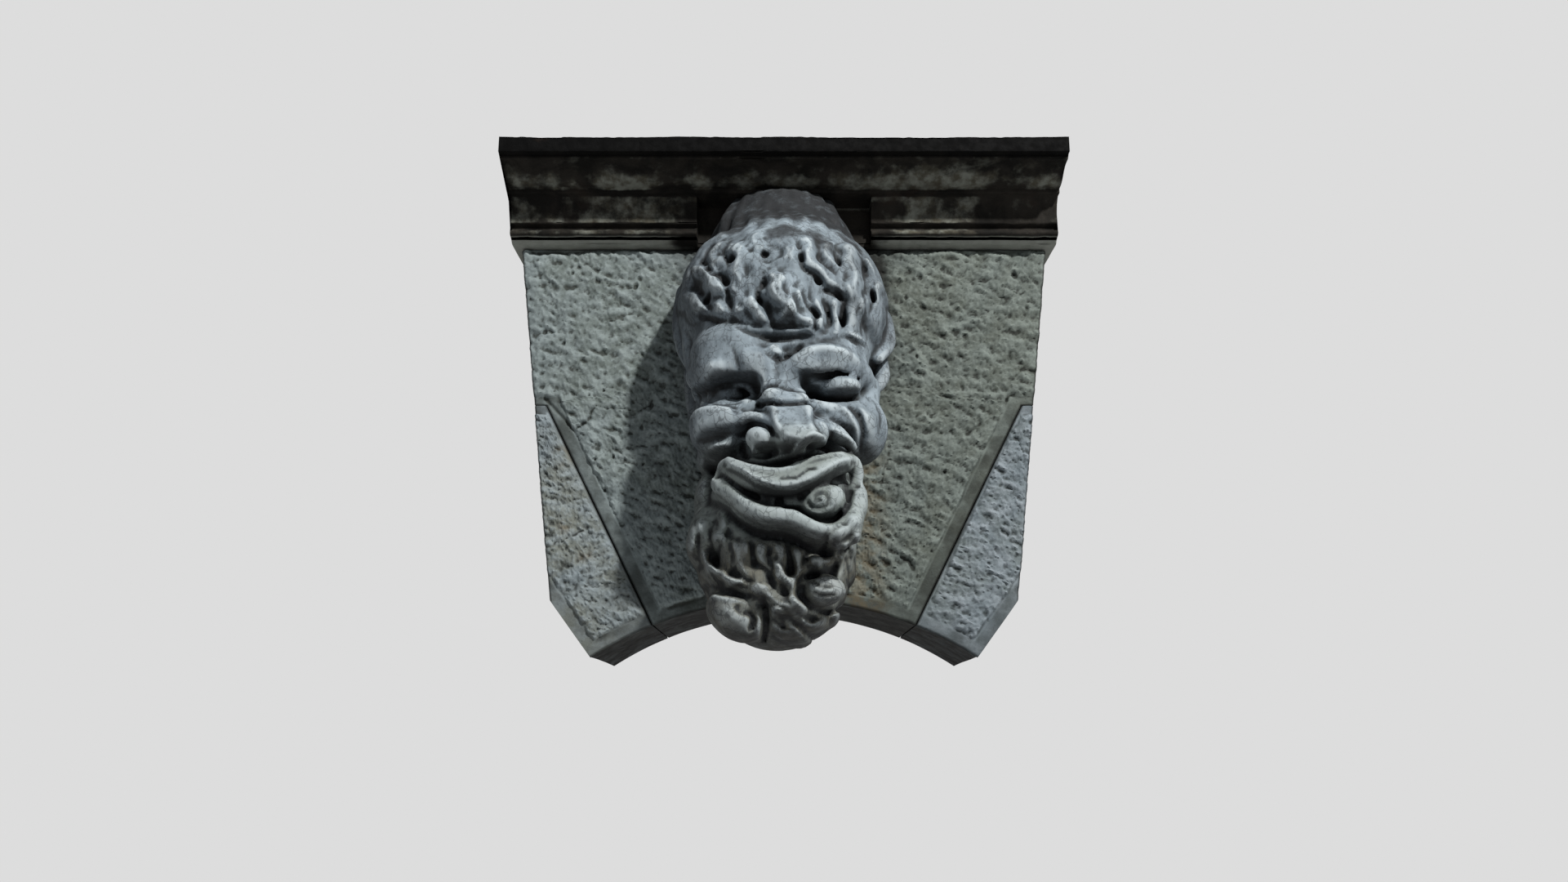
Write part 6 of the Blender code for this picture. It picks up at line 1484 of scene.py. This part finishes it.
def paint_rough_stone(piece, body, light, dark, tint, seed):
    """Weathered pecked stone: painted highlight on the crests, painted shade in the hollows, blotches and
    fine grain.
    """
    paint = Paint("rough_" + piece.name)
    blotch = paint.between(paint.noise(7 + seed, 5.0, twist=0.6), 0.38, 0.62)
    colour = paint.mix(blotch, body, tint)
    cloud = paint.between(paint.noise(34, 6.0, (1, 1, 1.5)), 0.42, 0.66)
    colour = paint.wash(colour, cloud, 0.55, light)
    # Painted highlight on the crests and painted shade in the hollows.
    hollow_shade = paint.mark("hollow_shade")
    crest_highlight = paint.between(hollow_shade, 0.48, 0.12)
    colour = paint.wash(colour, crest_highlight, 0.45, light)
    deep_shade = paint.between(hollow_shade, 0.52, 0.95)
    colour = paint.wash(colour, deep_shade, 0.85, dark)
    speck = paint.between(paint.noise(260, 3.0), 0.58, 0.72)
    colour = paint.wash(colour, speck, 0.35, dark)
    # Darker in the sunken margins and on the sides (edge mark): dirt with painted shade.
    broken = paint.between(paint.noise(30, 5.0), 0.35, 0.65, 0.25, 0.7)
    colour = paint.wash(colour, paint.mark("edge"), broken, dark)
    dusty = paint.between(paint.noise(60, 5.0), 0.35, 0.6)
    ochre = paint.maths("MULTIPLY", paint.mark("ochre"), dusty)
    colour = paint.wash(colour, ochre, 0.5, tone(104, 92, 70))
    patchy = paint.between(paint.noise(42, 6.0, (1, 1, 0.5)), 0.30, 0.62)
    thick = paint.maths("ADD", 0.8, paint.maths("MULTIPLY", patchy, 0.2))
    # Black dirt beside the head and at the rims, and painted shade on the arch's underside.
    colour = paint.wash(colour, paint.mark("soot_and_shade"), thick, tone(25, 24, 22))
    roughness = paint.between(paint.noise(90, 4.0), 0.3, 0.7, 0.78, 0.97)
    grain = paint.bump(paint.noise(420, 4.0), 0.3, 0.0006)
    normal = paint.bump(paint.noise(120, 6.0, (1, 1, 1.3)), 0.5, 0.0018, grain)
    paint.finish(piece, colour, roughness, normal, 0.12)


def paint_marble(piece):
    """Old marble: painted blue-white highlight on the crests, black crust and painted shade in the hollows,
    browner in the beard.
    """
    paint = Paint("weathered_marble")
    streak = paint.between(paint.noise(34, 6.0, (1, 1, 0.22), twist=0.4), 0.36, 0.66)
    colour = paint.mix(streak, tone(144, 156, 164), tone(106, 116, 123))
    cloud = paint.between(paint.noise(22, 7.0, twist=0.8), 0.42, 0.60)
    colour = paint.wash(colour, cloud, 0.6, tone(104, 114, 120))
    height = paint.mark("height")
    colour = paint.wash(colour, paint.between(height, 0.40, 0.34), 0.8, tone(124, 131, 126))
    brown = paint.between(paint.noise(40, 5.0), 0.40, 0.62)
    brown = paint.mix(brown, tone(112, 115, 110), tone(92, 89, 78))
    colour = paint.wash(colour, paint.between(height, 0.21, 0.16), 0.85, brown)
    # Painted highlight on the crests, stronger higher up the head.
    crest_highlight = paint.between(paint.mark("crest_highlight"), 0.15, 1.0)
    above = paint.between(height, 0.26, 0.50, 0.45, 0.70)
    colour = paint.wash(colour, crest_highlight, above, tone(182, 192, 196))
    # Painted shade in shut-in places, in the hollows along with black crust, and in the creases.
    colour = paint.wash(colour, paint.mark("shut_in_shade"), 0.75, tone(58, 62, 64))
    colour = paint.wash(colour, paint.mark("hollow_shade"), 0.92, tone(24, 24, 24))
    colour = paint.wash(colour, paint.mark("crease_shade"), 0.75, tone(34, 36, 37))
    veins = paint.between(paint.noise(70, 7.0, (1, 1, 0.5), twist=1.2), 0.60, 0.72)
    colour = paint.wash(colour, veins, 0.55, tone(62, 68, 73))
    fleck = paint.between(paint.noise(170, 6.0, (1, 1, 0.6)), 0.52, 0.66)
    colour = paint.wash(colour, fleck, 0.55, tone(62, 67, 70))
    fine_crack = paint.between(paint.cells(95, "DISTANCE_TO_EDGE"), 0.075, 0.015)
    broken = paint.between(paint.noise(26, 4.0), 0.42, 0.58)
    fine_crack = paint.maths("MULTIPLY", fine_crack, broken)
    colour = paint.wash(colour, fine_crack, 0.5, tone(48, 50, 52))
    thick = paint.between(paint.noise(50, 5.0), 0.2, 0.5, 0.6, 1.0)
    # Black growth and dirt, with painted shade on faces that turn down and away from the light.
    colour = paint.wash(colour, paint.mark("soot_and_shade"), thick, tone(34, 34, 35))
    roughness = paint.between(paint.noise(80, 4.0), 0.3, 0.7, 0.66, 0.90)
    grain = paint.bump(paint.noise(520, 4.0), 0.15, 0.0005)
    normal = paint.bump(paint.noise(150, 6.0, (1, 1, 0.45)), 0.5, 0.0016, grain)
    paint.finish(piece, colour, roughness, normal, 0.20)


def paint_crust(piece):
    """Moulded stone under a black crust, with the stone showing where it has washed."""
    paint = Paint("black_crust")
    cloud = paint.between(paint.noise(22, 6.0, (1, 1, 0.5), twist=0.5), 0.36, 0.66)
    crown = paint.between(paint.mark("height"), 0.74, 0.80)
    dark = paint.mix(cloud, tone(26, 25, 23), tone(46, 43, 39))
    colour = paint.mix(crown, dark, tone(6, 6, 6))
    bare = paint.mix(paint.between(paint.noise(60, 5.0), 0.35, 0.65), tone(78, 75, 65), tone(122, 124, 116))
    uneven = paint.between(paint.noise(45, 6.0), 0.3, 0.7, -0.25, 0.25)
    ragged = paint.maths("ADD", paint.mark("pale"), uneven)
    colour = paint.mix(paint.between(ragged, 0.24, 0.90), colour, bare)
    foot = paint.between(paint.mark("height"), 0.075, 0.055, 0.0, 0.7)
    colour = paint.wash(colour, foot, paint.mark("pale"), tone(150, 153, 146))
    rust = paint.between(paint.noise(14, 5.0, (1, 1, 2)), 0.58, 0.72)
    colour = paint.wash(colour, rust, 0.35, tone(48, 38, 32))
    roughness = paint.between(paint.noise(70, 4.0), 0.3, 0.7, 0.75, 0.97)
    grain = paint.bump(paint.noise(380, 4.0), 0.5, 0.0008)
    normal = paint.bump(paint.noise(90, 6.0), 0.6, 0.0022, grain)
    paint.finish(piece, colour, roughness, normal, 0.10)


def paint_plain(piece, colour, roughness):
    paint = Paint("plain_" + piece.name)
    soft = paint.mix(paint.noise(0.6, 2.0), colour, tuple(0.97 * part for part in colour[:3]) + (1.0,))
    even = paint.between(paint.noise(2.0), 0.3, 0.7, roughness, roughness + 0.03)
    normal = paint.bump(paint.noise(8.0), 0.02, 0.001)
    paint.finish(piece, soft, even, normal, 0.1)


# Floor, light and camera
def build_floor():
    half = FLOOR_HALF
    points = [(-half, -half, FLOOR_Z), (half, -half, FLOOR_Z), (half, half, FLOOR_Z), (-half, half, FLOOR_Z)]
    floor = make_piece("floor", points, [[0, 1, 2, 3]], {})
    paint_plain(floor, FLOOR_TONE, 0.9)


def paint_world():
    """Even and pale behind the piece, dimmer from the front, most of all from the left and below."""
    world = bpy.data.worlds.new("studio")
    world.use_nodes = True
    nodes, links = world.node_tree.nodes, world.node_tree.links
    way = nodes.new("ShaderNodeTexCoord")
    parts = nodes.new("ShaderNodeSeparateXYZ")
    links.new(way.outputs["Generated"], parts.inputs["Vector"])
    mixes = []
    for axis, start, end in (("X", -0.8, 0.8), ("Y", -0.3, 0.1), ("Z", -0.5, -0.2)):
        share = nodes.new("ShaderNodeMapRange")
        share.inputs["From Min"].default_value = start
        share.inputs["From Max"].default_value = end
        links.new(parts.outputs[axis], share.inputs["Value"])
        mix = nodes.new("ShaderNodeMix")
        mix.data_type = "RGBA"
        links.new(share.outputs["Result"], mix.inputs[0])
        mixes.append(mix)
    front, whole, above = mixes
    front.inputs[6].default_value = LEFT_GLOW
    front.inputs[7].default_value = RIGHT_GLOW
    links.new(front.outputs[2], whole.inputs[6])
    whole.inputs[7].default_value = BACKGROUND
    above.inputs[6].default_value = LOW_GLOW
    links.new(whole.outputs[2], above.inputs[7])
    links.new(above.outputs[2], nodes["Background"].inputs["Color"])
    bpy.context.scene.world = world


def add_light():
    """One small light from high up at the right, aimed at the origin."""
    lamp = bpy.data.lights.new("key", "AREA")
    lamp.size = KEY_SIZE
    lamp.energy = KEY_POWER
    lamp.color = KEY_TONE
    light = bpy.data.objects.new("key", lamp)
    light.location = KEY_PLACE
    light.rotation_euler = (-mathutils.Vector(KEY_PLACE)).to_track_quat("-Z", "Y").to_euler()
    bpy.context.collection.objects.link(light)


def build_stage():
    build_floor()
    paint_world()
    add_light()
    camera = bpy.data.cameras.new("camera")
    camera.sensor_width = SENSOR
    camera.lens = LENS
    view = bpy.data.objects.new("camera", camera)
    view.location = CAMERA_PLACE
    view.rotation_euler = (math.radians(90 + CAMERA_TILT), 0.0, 0.0)
    bpy.context.collection.objects.link(view)
    bpy.context.scene.camera = view
    bpy.context.scene.view_settings.view_transform = "Standard"


def keep(piece, node):
    """The piece stands in for its node, which is hidden, on the one body."""
    piece.data.set_sharp_from_angle(angle=SHARP_ANGLE)
    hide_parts(node)
    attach(piece, "root")


def build():
    head = build_head()
    paint_marble(head)
    keep(head, "mask_keystone")
    stones = [
        (build_haunch("haunch_left_carved", -1, 1, 24, LEFT_CRACKS, LEFT_PITS), "haunch_left",
         tone(112, 121, 122), tone(146, 156, 156), tone(50, 52, 48), tone(102, 110, 107)),
        (build_haunch("haunch_right_carved", 1, 2, -18, RIGHT_CRACKS, RIGHT_PITS), "haunch_right",
         tone(91, 98, 95), tone(124, 132, 127), tone(40, 41, 38), tone(86, 91, 85)),
        (build_voussoir("voussoir_left_carved", -1, 3, 20, FOOT_CRACKS_LEFT, FOOT_PITS_LEFT),
         "voussoir_left",
         tone(112, 121, 125), tone(146, 156, 160), tone(60, 62, 60), tone(114, 118, 112)),
        (build_voussoir("voussoir_right_carved", 1, 4, -26, FOOT_CRACKS_RIGHT, FOOT_PITS_RIGHT),
         "voussoir_right",
         tone(106, 115, 120), tone(142, 150, 156), tone(56, 60, 60), tone(104, 112, 113)),
    ]
    for order, (stone, node, body, light, dark, tint) in enumerate(stones):
        paint_rough_stone(stone, body, light, dark, tint, order)
        keep(stone, node)
    cornice = build_cornice()
    paint_crust(cornice)
    keep(cornice, "cornice")
    build_stage()


build()
